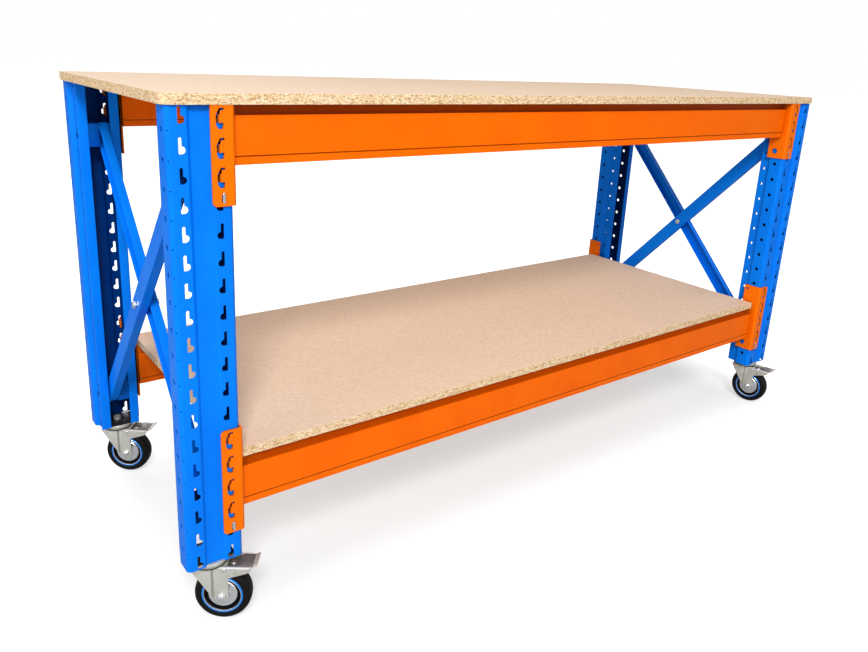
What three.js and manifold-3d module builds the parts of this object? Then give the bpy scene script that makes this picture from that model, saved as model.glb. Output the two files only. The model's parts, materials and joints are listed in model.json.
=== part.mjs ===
// Mobile workbench made of pallet racking parts: four perforated uprights, four hooked step beams,
// two chipboard decks, braced end frames and four braked swivel casters.
// Millimetres, +Z up, long side along X, origin on the floor under the middle of the bench.

import * as THREE from 'three';
import { mergeVertices } from 'three/addons/utils/BufferGeometryUtils.js';
import Module from 'manifold-3d';

const wasm = await Module();
wasm.setup();

// Overall sizes of the bench
const FRAME_LENGTH = 2046;
const FRAME_DEPTH = 740;
const UPRIGHT_LENGTH = 882;
const CASTER_HEIGHT = 143;
const SEAT_GAP = 0.3;
const MERGE_DISTANCE = 0.0001;
const CUT_OVERRUN = 1;

// Decks
const BOARD_THICKNESS = 19;
const WORKTOP_END_OVERHANG = 8;
const WORKTOP_SIDE_OVERHANG = 6;
const WORKTOP_CORNER_RADIUS = 22;
const SHELF_TOP_RISE = 225;
const SHELF_SETBACK = 17;
const SHELF_END_CLEARANCE = 1.5;

// Upright section, from its flat front face inward
const UPRIGHT_WIDTH = 112;
const UPRIGHT_THICKNESS = 2;
const CORNER_BEVEL = 6;
const SIDE_FLANGE_DEPTH = 43;
const JOG_DEPTH = 7;
const JOG_INWARD = 10;
const REAR_FLANGE_DEPTH = 28;
const LIP_WIDTH = 21;
const GROOVE_FLOOR_WIDTH = 30;
const GROOVE_WALL_WIDTH = 6;
const GROOVE_DEPTH = 7;

// Perforation of the upright
const SLOT_PITCH = 50;
const SLOT_END_MARGIN = 2;
const SLOT_COLUMN_OFFSET = 33.6;
const SLOT_ARM_WIDTH = 6;
const SLOT_HEIGHT = 28;
const SLOT_FOOT_HEIGHT = 12;
const SLOT_FOOT_REACH = 7;
const SLOT_FOOT_BASE = 4;

// Beams
const BEAM_HEIGHT = 105;
const BEAM_WIDTH = 50;
const BEAM_SETBACK = 15;
const BEAM_WALL = 2.5;
const BEAM_STEP_HEIGHT = 19;
const BEAM_STEP_DEPTH = 14;
const BEAM_GROOVE_HEIGHT = 15;
const BEAM_GROOVE_WIDTH = 3;
const BEAM_GROOVE_DEPTH = 1.5;

// End connectors of the beams
const CONNECTOR_THICKNESS = 4;
const CONNECTOR_REACH = 39;
const CONNECTOR_LEG_DEPTH = 52;
const CONNECTOR_BEVEL = 4.3;
const CONNECTOR_CORNER_CUT = 5;
const CONNECTOR_HEAD = 4;
const CONNECTOR_TAIL = 32;
const CONNECTOR_HOLE_RADIUS = 9;
const CONNECTOR_HOLE_DEPTH = 30;
const CONNECTOR_HOLE_INSET = 22;
const CONNECTOR_SMALL_HOLE_RADIUS = 4.5;
const CONNECTOR_SMALL_HOLE_DEPTH = 42;
const CONNECTOR_SMALL_HOLE_INSET = 12;
const HOOK_THICKNESS = 4;
const HOOK_HEIGHT = 14;
const HOOK_NOSE_DROP = 6;
const HOOK_NOSE_DEPTH = 5;
const WINDOW_WIDTH = 15;
const WINDOW_HEIGHT = 36;
const WINDOW_DROP = 10;
const TOP_CONNECTOR_HOOKS = 3;
const BOTTOM_CONNECTOR_HOOKS = 4;
const BOTTOM_CONNECTOR_ROW = 2;
const CLIP_SLOT_WIDTH = 8;
const CLIP_SLOT_HEIGHT = 21;
const CLIP_SLOT_DROP = 7;
const CLIP_SLOT_SHIFT = 3;
const CLIP_WIDTH = 5;
const CLIP_PROUD = 2;

// Braces of the end frames
const BRACE_WEB = 40;
const BRACE_FLANGE = 20;
const BRACE_THICKNESS = 2;
const BRACE_GAP = 2;
const BRACE_TOP_DROP = 123;
const BRACE_BOTTOM_RISE = 99;
const BRACE_END_LENGTH = 20;
const BRACE_BOLT_RADIUS = 5;
const BRACE_NUT_RADIUS = 9;
const BRACE_NUT_HEIGHT = 6;
const BOLT_CLEARANCE = 1;
const SLEEVE_RADIUS = 8;

// Foot brackets
const FOOT_PLATE = 3;
const FOOT_EAR_HEIGHT = 30;
const FOOT_BOLT_HEIGHT = 15;
const FOOT_BOLT_RADIUS = 4;
const FOOT_BOLT_HEAD_RADIUS = 7;
const FOOT_BOLT_HEAD = 6;
const FOOT_FRONT_CLEARANCE = 1;

// Casters
const WHEEL_HEADROOM = 28;
const TYRE_WIDTH = 34;
const TYRE_SHOULDER = 6;
const TYRE_DEPTH = 16.5;
const RIM_FLANGE = 7;
const RIM_LIP = 4;
const RIM_WEB_HALF = 4;
const HUB_RADIUS = 13;
const AXLE_RADIUS = 6;
const AXLE_NUT_RADIUS = 9;
const AXLE_NUT_HEIGHT = 7;
const CASTER_TRAIL = 28;
const HEAD_RADIUS = 38;
const HEAD_THICKNESS = 14.5;
const HEAD_TAPER = 5;
const KINGPIN_RADIUS = 7;
const KINGPIN_RIVET_RADIUS = 11;
const KINGPIN_RIVET_HEIGHT = 3;
const STEM_RADIUS = 6;
const STEM_NUT_RADIUS = 10;
const STEM_NUT_HEIGHT = 8;
const CROWN_THICKNESS = 3;
const CROWN_LENGTH_FRONT = 32;
const CROWN_LENGTH_BACK = 37;
const FORK_THICKNESS = 2.5;
const FORK_SIDE_GAP = 2;
const FORK_EYE_RADIUS = 14;
const WING_REACH = 90;
const WING_ROOT_DEPTH = 27;
const WING_END_DEPTH = 13;
const WING_END_LENGTH = 8;
const WING_TIP_DEPTH = 2;
const PEDAL_PIVOT_RISE = 4.5;
const PEDAL_PIVOT_OFFSET = 6;
const PEDAL_PIN_RADIUS = 2.5;
const PEDAL_PIN_PLAY = 0.6;
const PEDAL_THICKNESS = 2.5;
const PEDAL_LENGTH = 57;
const PEDAL_HEEL = 10;
const PEDAL_STEP_START = 12;
const PEDAL_STEP_LENGTH = 10;
const PEDAL_STEP_RISE = 10;
const PEDAL_SIDE_GAP = 0.6;
const PEDAL_TIP_RISE = 9;
const PEDAL_TIP_LEAN = 10;
const PEDAL_FLANGE = 4;

// Round work
const BOLT_SIDES = 6;
const HOLE_SIDES = 8;
const HEAD_SIDES = 12;
const WHEEL_SIDES = 16;
const CORNER_STEPS = 4;
const FORK_EYE_START = 1.18 * Math.PI;

// How far each caster is turned at rest, in degrees from straight along the bench
const CASTER_HEADINGS = {
  front_left: -36,
  front_right: -80,
  back_left: -40,
  back_right: -40,
};

// Sizes worked out from those above
const BAY_LENGTH = FRAME_LENGTH - 2 * UPRIGHT_WIDTH;
const UPRIGHT_X = (FRAME_LENGTH - UPRIGHT_WIDTH) / 2;
const FACE_Y = FRAME_DEPTH / 2;
const UPRIGHT_TOP = CASTER_HEIGHT + UPRIGHT_LENGTH;
const REAR_FLANGE_X = UPRIGHT_WIDTH / 2 - JOG_INWARD;
const REAR_FLANGE_START = SIDE_FLANGE_DEPTH + JOG_DEPTH;
const UPRIGHT_DEPTH = REAR_FLANGE_START + REAR_FLANGE_DEPTH;
const BOLT_DEPTH = REAR_FLANGE_START + REAR_FLANGE_DEPTH / 2;
const SLOT_ROWS = Math.floor((UPRIGHT_LENGTH - SLOT_HEIGHT - SLOT_END_MARGIN) / SLOT_PITCH) + 1;
const BRACE_TOP = UPRIGHT_TOP - BRACE_TOP_DROP;
const BRACE_BOTTOM = CASTER_HEIGHT + BRACE_BOTTOM_RISE;
const SWIVEL_DEPTH = UPRIGHT_DEPTH / 2;
const WHEEL_DIAMETER = CASTER_HEIGHT - WHEEL_HEADROOM;
const WHEEL_RADIUS = WHEEL_DIAMETER / 2;
const RIM_RADIUS = WHEEL_RADIUS - TYRE_DEPTH;
const RIM_FLOOR_RADIUS = RIM_RADIUS - RIM_FLANGE;
const FORK_INNER = TYRE_WIDTH / 2 + FORK_SIDE_GAP;
const HEAD_TOP = CASTER_HEIGHT - SEAT_GAP;
const CROWN_TOP = HEAD_TOP - HEAD_THICKNESS - SEAT_GAP;
const PEDAL_PIVOT_X = CASTER_TRAIL + PEDAL_PIVOT_OFFSET;
const PEDAL_PIVOT_Z = WHEEL_DIAMETER + PEDAL_PIVOT_RISE;

// Outline of the C-shaped hook window, as shares of its width and height from its top bay-side corner
const HOOK_WINDOW_SHARES = [
  [0.1, 0.0],
  [0.0, 0.12],
  [0.42, 0.14],
  [0.6, 0.62],
  [0.08, 0.74],
  [0.2, 1.0],
  [0.68, 1.0],
  [0.98, 0.8],
  [1.0, 0.36],
  [0.6, 0.03],
];

// Paints and metals
const paint = (color, roughness, metalness) =>
  new THREE.MeshStandardMaterial({ color, roughness, metalness });
const BLUE = paint(0x0a6fe0, 0.4, 0.1);
const ORANGE = paint(0xf06a10, 0.42, 0.1);
const CHIPBOARD = paint(0xdcc09a, 0.85, 0);
const ZINC = paint(0xb9bab2, 0.4, 0.9);
const DARK_STEEL = paint(0x2b2d31, 0.55, 0.7);
const PEDAL_STEEL = paint(0x5d5f63, 0.5, 0.8);
const RUBBER = paint(0x141414, 0.85, 0);

// A closed solid for cutting and joining.
function solid(geometry) {
  const bare = geometry.index ? geometry.toNonIndexed() : geometry.clone();
  bare.deleteAttribute('normal');
  bare.deleteAttribute('uv');
  const merged = mergeVertices(bare, MERGE_DISTANCE);
  return new wasm.Manifold(
    new wasm.Mesh({
      numProp: 3,
      vertProperties: merged.attributes.position.array,
      triVerts: new Uint32Array(merged.index.array),
    }),
  );
}

// The flat-shaded geometry of a solid.
function geometryOf(made) {
  const mesh = made.getMesh();
  const geometry = new THREE.BufferGeometry();
  geometry.setAttribute('position', new THREE.BufferAttribute(mesh.vertProperties, 3));
  geometry.setIndex(new THREE.BufferAttribute(mesh.triVerts, 1));
  const flat = geometry.toNonIndexed();
  flat.computeVertexNormals();
  return flat;
}

const joined = (solids) => solids.reduce((sum, next) => sum.add(next));
const cut = (body, cutters) => body.subtract(joined(cutters));

function shapeOf(outline, holes = []) {
  const shape = new THREE.Shape(outline.map(([a, b]) => new THREE.Vector2(a, b)));
  for (const hole of holes) {
    shape.holes.push(new THREE.Path(hole.map(([a, b]) => new THREE.Vector2(a, b))));
  }
  return shape;
}

// Prisms of an outline: upright ones stand on XY, front ones face Y and side ones face X.
function prism(outline, start, end, holes) {
  return new THREE.ExtrudeGeometry(shapeOf(outline, holes), {
    depth: end - start,
    bevelEnabled: false,
    curveSegments: 1,
  });
}

function uprightPrism(outline, start, end, holes) {
  return prism(outline, start, end, holes).translate(0, 0, start);
}

function frontPrism(outline, start, end, holes) {
  return prism(outline, start, end, holes).rotateX(Math.PI / 2).translate(0, end, 0);
}

function sidePrism(outline, start, end, holes) {
  const turn = new THREE.Matrix4().makeBasis(
    new THREE.Vector3(0, 1, 0),
    new THREE.Vector3(0, 0, 1),
    new THREE.Vector3(1, 0, 0),
  );
  return prism(outline, start, end, holes).applyMatrix4(turn).translate(start, 0, 0);
}

function ring(centre, radius, sides, turn = 0) {
  const points = [];
  for (let i = 0; i < sides; i += 1) {
    const angle = turn + (2 * Math.PI * i) / sides;
    points.push([centre[0] + radius * Math.cos(angle), centre[1] + radius * Math.sin(angle)]);
  }
  return points;
}

// Part of a circle as points, from one angle to another.
function arc(centre, radius, from, to, steps) {
  const points = [];
  for (let i = 0; i <= steps; i += 1) {
    const angle = from + ((to - from) * i) / steps;
    points.push([centre[0] + radius * Math.cos(angle), centre[1] + radius * Math.sin(angle)]);
  }
  return points;
}

const box = (x0, x1, y0, y1) => [
  [x0, y0],
  [x1, y0],
  [x1, y1],
  [x0, y1],
];

// Outline of a sheet bent along an open path, with its thickness on the left of the path.
function sheetOutline(path, thickness) {
  const normals = path.slice(1).map(([x, y], i) => {
    const along = new THREE.Vector2(x - path[i][0], y - path[i][1]).normalize();
    return new THREE.Vector2(-along.y, along.x);
  });
  const inner = path.map(([x, y], i) => {
    const before = normals[Math.max(i - 1, 0)];
    const after = normals[Math.min(i, normals.length - 1)];
    const mitre = before.clone().add(after).multiplyScalar(thickness / (1 + before.dot(after)));
    return [x + mitre.x, y + mitre.y];
  });
  return [...path, ...inner.reverse()];
}

const flipped = (path) => path.map(([x, y]) => [-x, y]).reverse();
const slotBottom = (row) => CASTER_HEIGHT + SLOT_END_MARGIN + row * SLOT_PITCH;

const bench = new THREE.Group();

function addMesh(name, geometry, material, parent = bench) {
  const mesh = new THREE.Mesh(geometry, material);
  mesh.name = name;
  parent.add(mesh);
  return mesh;
}

// Uprights
function uprightSection() {
  const edge = UPRIGHT_WIDTH / 2;
  const wallTop = GROOVE_FLOOR_WIDTH / 2 + GROOVE_WALL_WIDTH;
  const right = [
    [GROOVE_FLOOR_WIDTH / 2, GROOVE_DEPTH],
    [wallTop, 0],
    [edge - CORNER_BEVEL, 0],
    [edge, CORNER_BEVEL],
    [edge, SIDE_FLANGE_DEPTH],
    [REAR_FLANGE_X, REAR_FLANGE_START],
    [REAR_FLANGE_X, UPRIGHT_DEPTH],
    [REAR_FLANGE_X - LIP_WIDTH, UPRIGHT_DEPTH],
  ];
  return sheetOutline([...flipped(right), ...right], UPRIGHT_THICKNESS);
}

function slotOutline(side, row) {
  const bottom = slotBottom(row);
  const outer = SLOT_COLUMN_OFFSET + SLOT_ARM_WIDTH / 2;
  const inner = SLOT_COLUMN_OFFSET - SLOT_ARM_WIDTH / 2;
  return [
    [side * outer, bottom],
    [side * outer, bottom + SLOT_HEIGHT],
    [side * inner, bottom + SLOT_HEIGHT],
    [side * inner, bottom + SLOT_FOOT_HEIGHT],
    [side * (inner - SLOT_FOOT_REACH), bottom + SLOT_FOOT_HEIGHT / 2],
    [side * (inner - SLOT_FOOT_BASE), bottom],
  ];
}

function slotCutters() {
  const cutters = [];
  for (const side of [-1, 1]) {
    for (let row = 0; row < SLOT_ROWS; row += 1) {
      const outline = slotOutline(side, row);
      cutters.push(solid(frontPrism(outline, -CUT_OVERRUN, UPRIGHT_THICKNESS + CUT_OVERRUN)));
    }
  }
  return cutters;
}

// The bolts through both rear flanges of an upright need their holes.
function boltCutters() {
  const reach = REAR_FLANGE_X + CUT_OVERRUN;
  const braceHole = BRACE_BOLT_RADIUS + BOLT_CLEARANCE;
  const footHole = FOOT_BOLT_RADIUS + BOLT_CLEARANCE;
  const holes = [
    [BRACE_TOP, braceHole],
    [BRACE_BOTTOM, braceHole],
    [CASTER_HEIGHT + FOOT_BOLT_HEIGHT, footHole],
  ];
  return holes.map(([height, radius]) =>
    solid(sidePrism(ring([BOLT_DEPTH, height], radius, BOLT_SIDES), -reach, reach)),
  );
}

function uprightGeometry() {
  const blank = solid(uprightPrism(uprightSection(), CASTER_HEIGHT, UPRIGHT_TOP));
  return geometryOf(cut(blank, [...slotCutters(), ...boltCutters()]));
}

// The four corners of the bench, with the name, the side along X and the side along Y.
const CORNERS = [
  ['front_left', -1, -1],
  ['front_right', 1, -1],
  ['back_left', -1, 1],
  ['back_right', 1, 1],
];

// A piece drawn in an upright's own frame, with its depth pointing into the bench.
function placeAtCorner(mesh, sideX, sideY) {
  mesh.position.set(sideX * UPRIGHT_X, sideY * FACE_Y, 0);
  mesh.rotation.z = sideY > 0 ? Math.PI : 0;
  return mesh;
}

const uprightShape = uprightGeometry();
for (const [name, sideX, sideY] of CORNERS) {
  placeAtCorner(addMesh(`upright_${name}`, uprightShape, BLUE), sideX, sideY);
}

// Beams with their welded end connectors
function beamSection(bottom) {
  const face = BEAM_SETBACK;
  const back = BEAM_SETBACK + BEAM_WIDTH;
  const top = bottom + BEAM_HEIGHT;
  const ledge = top - BEAM_STEP_HEIGHT;
  const groove = bottom + BEAM_GROOVE_HEIGHT;
  return [
    [face, bottom],
    [back, bottom],
    [back, top],
    [face + BEAM_STEP_DEPTH, top],
    [face + BEAM_STEP_DEPTH, ledge],
    [face, ledge],
    [face, groove + BEAM_GROOVE_WIDTH / 2],
    [face + BEAM_GROOVE_DEPTH, groove],
    [face, groove - BEAM_GROOVE_WIDTH / 2],
  ];
}

function beamHollow(bottom) {
  const face = BEAM_SETBACK + BEAM_WALL;
  const top = bottom + BEAM_HEIGHT - BEAM_WALL;
  const ledge = top - BEAM_STEP_HEIGHT;
  const back = BEAM_SETBACK + BEAM_WIDTH - BEAM_WALL;
  return [
    [face, bottom + BEAM_WALL],
    [back, bottom + BEAM_WALL],
    [back, top],
    [face + BEAM_STEP_DEPTH, top],
    [face + BEAM_STEP_DEPTH, ledge],
    [face, ledge],
  ];
}

// Distances along a connector are measured from the bay side of its upright, outward.
const alongX = (side, outward) => side * (BAY_LENGTH / 2 + outward);
const columnOutward = UPRIGHT_WIDTH / 2 - SLOT_COLUMN_OFFSET;

function spanX(side, from, to) {
  const ends = [alongX(side, from), alongX(side, to)];
  return [Math.min(...ends), Math.max(...ends)];
}

function connectorPlate(side, bottom, top) {
  const front = -SEAT_GAP - CONNECTOR_THICKNESS;
  const leg = -SEAT_GAP - CONNECTOR_THICKNESS;
  const path = [
    [leg, CONNECTOR_LEG_DEPTH],
    [leg, front + CONNECTOR_BEVEL],
    [leg + CONNECTOR_BEVEL, front],
    [CONNECTOR_REACH, front],
  ];
  const outline = sheetOutline(path, CONNECTOR_THICKNESS);
  return solid(
    uprightPrism(
      outline.map(([outward, depth]) => [alongX(side, outward), depth]),
      bottom,
      top,
    ),
  );
}

function hookWindow(side, row) {
  const outer = columnOutward + WINDOW_WIDTH / 2;
  const bottom = slotBottom(row) - WINDOW_DROP;
  return HOOK_WINDOW_SHARES.map(([across, down]) => [
    alongX(side, outer - WINDOW_WIDTH * (1 - across)),
    bottom + WINDOW_HEIGHT * (1 - down),
  ]);
}

// A hook leaves the connector through the arm of a slot and turns down behind the upright's face.
function hook(side, row) {
  const bottom = slotBottom(row) + SEAT_GAP;
  const front = -SEAT_GAP - CONNECTOR_THICKNESS;
  const behind = UPRIGHT_THICKNESS + SEAT_GAP;
  const outline = [
    [front, bottom],
    [behind, bottom],
    [behind, bottom - HOOK_NOSE_DROP],
    [behind + HOOK_NOSE_DEPTH, bottom - HOOK_NOSE_DROP],
    [behind + HOOK_NOSE_DEPTH, bottom + HOOK_HEIGHT / 2],
    [behind, bottom + HOOK_HEIGHT],
    [front, bottom + HOOK_HEIGHT],
  ];
  const half = HOOK_THICKNESS / 2;
  return solid(sidePrism(outline, ...spanX(side, columnOutward - half, columnOutward + half)));
}

// Middle of the oval hole that takes the safety clip, below the lowest hook.
const clipHeight = (row) =>
  slotBottom(row) - WINDOW_DROP - CLIP_SLOT_DROP - CLIP_SLOT_HEIGHT / 2;

function clipSlot(side, row) {
  const centre = alongX(side, columnOutward - CLIP_SLOT_SHIFT);
  const half = CLIP_SLOT_WIDTH / 2;
  const straight = CLIP_SLOT_HEIGHT / 2 - half;
  return [
    ...arc([centre, clipHeight(row) + straight], half, 0, Math.PI, 2),
    ...arc([centre, clipHeight(row) - straight], half, Math.PI, 2 * Math.PI, 2),
  ];
}

function connectorCorner(side, edge, inward) {
  return [
    [alongX(side, CONNECTOR_REACH + CUT_OVERRUN), edge - inward * CUT_OVERRUN],
    [alongX(side, CONNECTOR_REACH + CUT_OVERRUN), edge + inward * CONNECTOR_CORNER_CUT],
    [alongX(side, CONNECTOR_REACH), edge + inward * CONNECTOR_CORNER_CUT],
    [alongX(side, CONNECTOR_REACH - CONNECTOR_CORNER_CUT), edge],
    [alongX(side, CONNECTOR_REACH - CONNECTOR_CORNER_CUT), edge - inward * CUT_OVERRUN],
  ];
}

// Every beam stands on the same connector idea: a row of hooks, a clip hole and a punched leg.
function beamGeometry(bottom, topRow, hooks, plateTop) {
  const lastRow = topRow - hooks + 1;
  const plateBottom = slotBottom(lastRow) - WINDOW_DROP - CONNECTOR_TAIL;
  const front = [-SEAT_GAP - CONNECTOR_THICKNESS - CUT_OVERRUN, 0];
  const entry = BAY_LENGTH / 2 - SEAT_GAP - CONNECTOR_THICKNESS / 2;
  const tube = sidePrism(beamSection(bottom), -entry, entry, [beamHollow(bottom)]);
  const holeHeights = [plateBottom + CONNECTOR_HOLE_INSET, bottom + BEAM_HEIGHT / 2];
  const punched = holeHeights.map((height) =>
    ring([CONNECTOR_HOLE_DEPTH, height], CONNECTOR_HOLE_RADIUS, HOLE_SIDES),
  );
  if (plateTop < UPRIGHT_TOP) {
    const centre = [CONNECTOR_SMALL_HOLE_DEPTH, plateTop - CONNECTOR_SMALL_HOLE_INSET];
    punched.push(ring(centre, CONNECTOR_SMALL_HOLE_RADIUS, BOLT_SIDES));
  }
  let body = solid(tube);
  for (const side of [-1, 1]) {
    const rows = [];
    for (let row = lastRow; row <= topRow; row += 1) {
      rows.push(row);
    }
    const cutters = rows.map((row) => solid(frontPrism(hookWindow(side, row), ...front)));
    cutters.push(solid(frontPrism(clipSlot(side, lastRow), ...front)));
    cutters.push(solid(frontPrism(connectorCorner(side, plateBottom, 1), ...front)));
    if (plateTop < UPRIGHT_TOP) {
      cutters.push(solid(frontPrism(connectorCorner(side, plateTop, -1), ...front)));
    }
    body = body.add(cut(connectorPlate(side, plateBottom, plateTop), cutters));
    body = joined([body, ...rows.map((row) => hook(side, row))]);
    const legSpan = spanX(side, CUT_OVERRUN, -SEAT_GAP - CONNECTOR_THICKNESS - CUT_OVERRUN);
    body = cut(body, punched.map((circle) => solid(sidePrism(circle, ...legSpan))));
  }
  return geometryOf(body);
}

function placeAlongSide(mesh, sideY) {
  mesh.position.set(0, sideY * FACE_Y, 0);
  mesh.rotation.z = sideY > 0 ? Math.PI : 0;
  return mesh;
}

const SIDES = [
  ['front', -1],
  ['back', 1],
];
const TOP_BEAM_BOTTOM = UPRIGHT_TOP - BEAM_HEIGHT;
const SHELF_TOP = CASTER_HEIGHT + SHELF_TOP_RISE;
const SHELF_BOTTOM = SHELF_TOP - BOARD_THICKNESS;
const BOTTOM_BEAM_BOTTOM = SHELF_BOTTOM - SEAT_GAP - BEAM_HEIGHT;
const TOP_BEAM_ROW = SLOT_ROWS - 1;
const BOTTOM_BEAM_ROW = BOTTOM_CONNECTOR_ROW + BOTTOM_CONNECTOR_HOOKS - 1;
const bottomPlateTop =
  slotBottom(BOTTOM_BEAM_ROW) - WINDOW_DROP + WINDOW_HEIGHT + CONNECTOR_HEAD;

const topBeam = beamGeometry(TOP_BEAM_BOTTOM, TOP_BEAM_ROW, TOP_CONNECTOR_HOOKS, UPRIGHT_TOP);
const bottomBeam = beamGeometry(
  BOTTOM_BEAM_BOTTOM,
  BOTTOM_BEAM_ROW,
  BOTTOM_CONNECTOR_HOOKS,
  bottomPlateTop,
);
for (const [name, sideY] of SIDES) {
  placeAlongSide(addMesh(`beam_top_${name}`, topBeam, ORANGE), sideY);
  placeAlongSide(addMesh(`beam_bottom_${name}`, bottomBeam, ORANGE), sideY);
}

// Safety clips stand in the oval holes and reach into the slot behind.
function clipGeometry(height) {
  const half = CLIP_SLOT_HEIGHT / 2 - SEAT_GAP - CLIP_WIDTH / 2;
  const front = -SEAT_GAP - CONNECTOR_THICKNESS - CLIP_PROUD;
  const outline = [
    ...arc([0, height + half], CLIP_WIDTH / 2, 0, Math.PI, 2),
    ...arc([0, height - half], CLIP_WIDTH / 2, Math.PI, 2 * Math.PI, 2),
  ];
  return frontPrism(outline, front, -SEAT_GAP);
}

const BEAM_LEVELS = [
  ['top', SLOT_ROWS - TOP_CONNECTOR_HOOKS],
  ['bottom', BOTTOM_CONNECTOR_ROW],
];
for (const [level, row] of BEAM_LEVELS) {
  const shape = clipGeometry(clipHeight(row));
  for (const [name, sideX, sideY] of CORNERS) {
    const clip = addMesh(`safety_clip_${level}_${name}`, shape, ZINC);
    placeAlongSide(clip, sideY);
    clip.position.x = alongX(sideX, columnOutward - CLIP_SLOT_SHIFT);
  }
}

// Decks
function roundedBoard(length, depth, radius) {
  const x = length / 2 - radius;
  const y = depth / 2 - radius;
  const quarter = Math.PI / 2;
  return [
    ...arc([x, -y], radius, -quarter, 0, CORNER_STEPS),
    ...arc([x, y], radius, 0, quarter, CORNER_STEPS),
    ...arc([-x, y], radius, quarter, 2 * quarter, CORNER_STEPS),
    ...arc([-x, -y], radius, 2 * quarter, 3 * quarter, CORNER_STEPS),
  ];
}

const worktopLength = FRAME_LENGTH + 2 * WORKTOP_END_OVERHANG;
const worktopDepth = FRAME_DEPTH + 2 * WORKTOP_SIDE_OVERHANG;
const worktopBottom = UPRIGHT_TOP + SEAT_GAP;
const worktopOutline = roundedBoard(worktopLength, worktopDepth, WORKTOP_CORNER_RADIUS);
addMesh(
  'worktop',
  uprightPrism(worktopOutline, worktopBottom, worktopBottom + BOARD_THICKNESS),
  CHIPBOARD,
);

const connectorLegX = BAY_LENGTH / 2 - SEAT_GAP - CONNECTOR_THICKNESS;
const shelfX = connectorLegX - SHELF_END_CLEARANCE;
const shelfY = FACE_Y - SHELF_SETBACK;
addMesh(
  'lower_shelf',
  uprightPrism(box(-shelfX, shelfX, -shelfY, shelfY), SHELF_BOTTOM, SHELF_TOP),
  CHIPBOARD,
);

// Braces: the two of an end frame cross with their open sides facing each other.
const braceReach = FACE_Y - BOLT_DEPTH;
const braceRun = 2 * braceReach;
const braceRise = BRACE_TOP - BRACE_BOTTOM;
const braceBolts = Math.hypot(braceRun, braceRise);
const braceTilt = Math.atan2(braceRun, braceRise);
const braceMiddle = (BRACE_TOP + BRACE_BOTTOM) / 2;

function braceGeometry(open) {
  const web = -open * (BRACE_FLANGE + BRACE_GAP / 2);
  const edge = -open * (BRACE_GAP / 2);
  const half = BRACE_WEB / 2;
  const path = [
    [edge, -half * open],
    [web, -half * open],
    [web, half * open],
    [edge, half * open],
  ];
  const section = sheetOutline(path.reverse(), BRACE_THICKNESS);
  const end = braceBolts / 2 + BRACE_END_LENGTH;
  const reach = BRACE_FLANGE + BRACE_GAP + CUT_OVERRUN;
  const radius = BRACE_BOLT_RADIUS + BOLT_CLEARANCE;
  const holes = [-braceBolts / 2, 0, braceBolts / 2].map((along) =>
    solid(sidePrism(ring([0, along], radius, BOLT_SIDES), -reach, reach)),
  );
  return geometryOf(cut(solid(uprightPrism(section, -end, end)), holes));
}

const fallingBrace = braceGeometry(1);
const risingBrace = braceGeometry(-1);
const ENDS = [
  ['left', -1],
  ['right', 1],
];
for (const [name, sideX] of ENDS) {
  const falling = addMesh(`brace_${name}_outer`, fallingBrace, BLUE);
  falling.position.set(sideX * UPRIGHT_X, 0, braceMiddle);
  falling.rotation.x = braceTilt;
  const rising = addMesh(`brace_${name}_inner`, risingBrace, BLUE);
  rising.position.set(sideX * UPRIGHT_X, 0, braceMiddle);
  rising.rotation.x = -braceTilt;
}

// A bolt along X with a head and a nut, both outside the span that it holds.
function boltAlongX(radius, nutRadius, nutHeight, from, to) {
  const start = from - SEAT_GAP;
  const end = to + SEAT_GAP;
  return joined([
    solid(sidePrism(ring([0, 0], radius, BOLT_SIDES), start - nutHeight / 2, end + nutHeight / 2)),
    solid(sidePrism(ring([0, 0], nutRadius, BOLT_SIDES), start - nutHeight, start)),
    solid(sidePrism(ring([0, 0], nutRadius, BOLT_SIDES), end, end + nutHeight)),
  ]);
}

const braceHalf = BRACE_FLANGE + BRACE_GAP / 2;
const centreBolt = geometryOf(
  boltAlongX(BRACE_BOLT_RADIUS, BRACE_NUT_RADIUS, BRACE_NUT_HEIGHT, -braceHalf, braceHalf),
);
for (const [name, sideX] of ENDS) {
  const bolt = addMesh(`brace_centre_bolt_${name}`, centreBolt, ZINC);
  bolt.position.set(sideX * UPRIGHT_X, 0, braceMiddle);
}

// A bolt with a sleeve that fills the half of the upright left free by the brace at that end.
function braceFixing(brace) {
  const bolt = boltAlongX(
    BRACE_BOLT_RADIUS,
    BRACE_NUT_RADIUS,
    BRACE_NUT_HEIGHT,
    -REAR_FLANGE_X,
    REAR_FLANGE_X,
  );
  const near = -brace * BRACE_GAP;
  const far = -brace * (REAR_FLANGE_X - UPRIGHT_THICKNESS - SEAT_GAP);
  const ends = [Math.min(near, far), Math.max(near, far)];
  const sleeve = sidePrism(ring([0, 0], SLEEVE_RADIUS, BOLT_SIDES), ...ends);
  return geometryOf(bolt.add(solid(sleeve)));
}

const outerFixing = braceFixing(-1);
const innerFixing = braceFixing(1);
for (const [name, sideX, sideY] of CORNERS) {
  // The outer brace runs from the back foot to the front top, the inner one the other way.
  const outerAtTop = sideY < 0;
  const heights = { top: BRACE_TOP, bottom: BRACE_BOTTOM };
  for (const [level, height] of Object.entries(heights)) {
    const isOuter = (level === 'top') === outerAtTop;
    const fixing = addMesh(
      `brace_fixing_${name}_${level}`,
      isOuter ? outerFixing : innerFixing,
      ZINC,
    );
    fixing.position.set(sideX * UPRIGHT_X, sideY * braceReach, height);
  }
}

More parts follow.
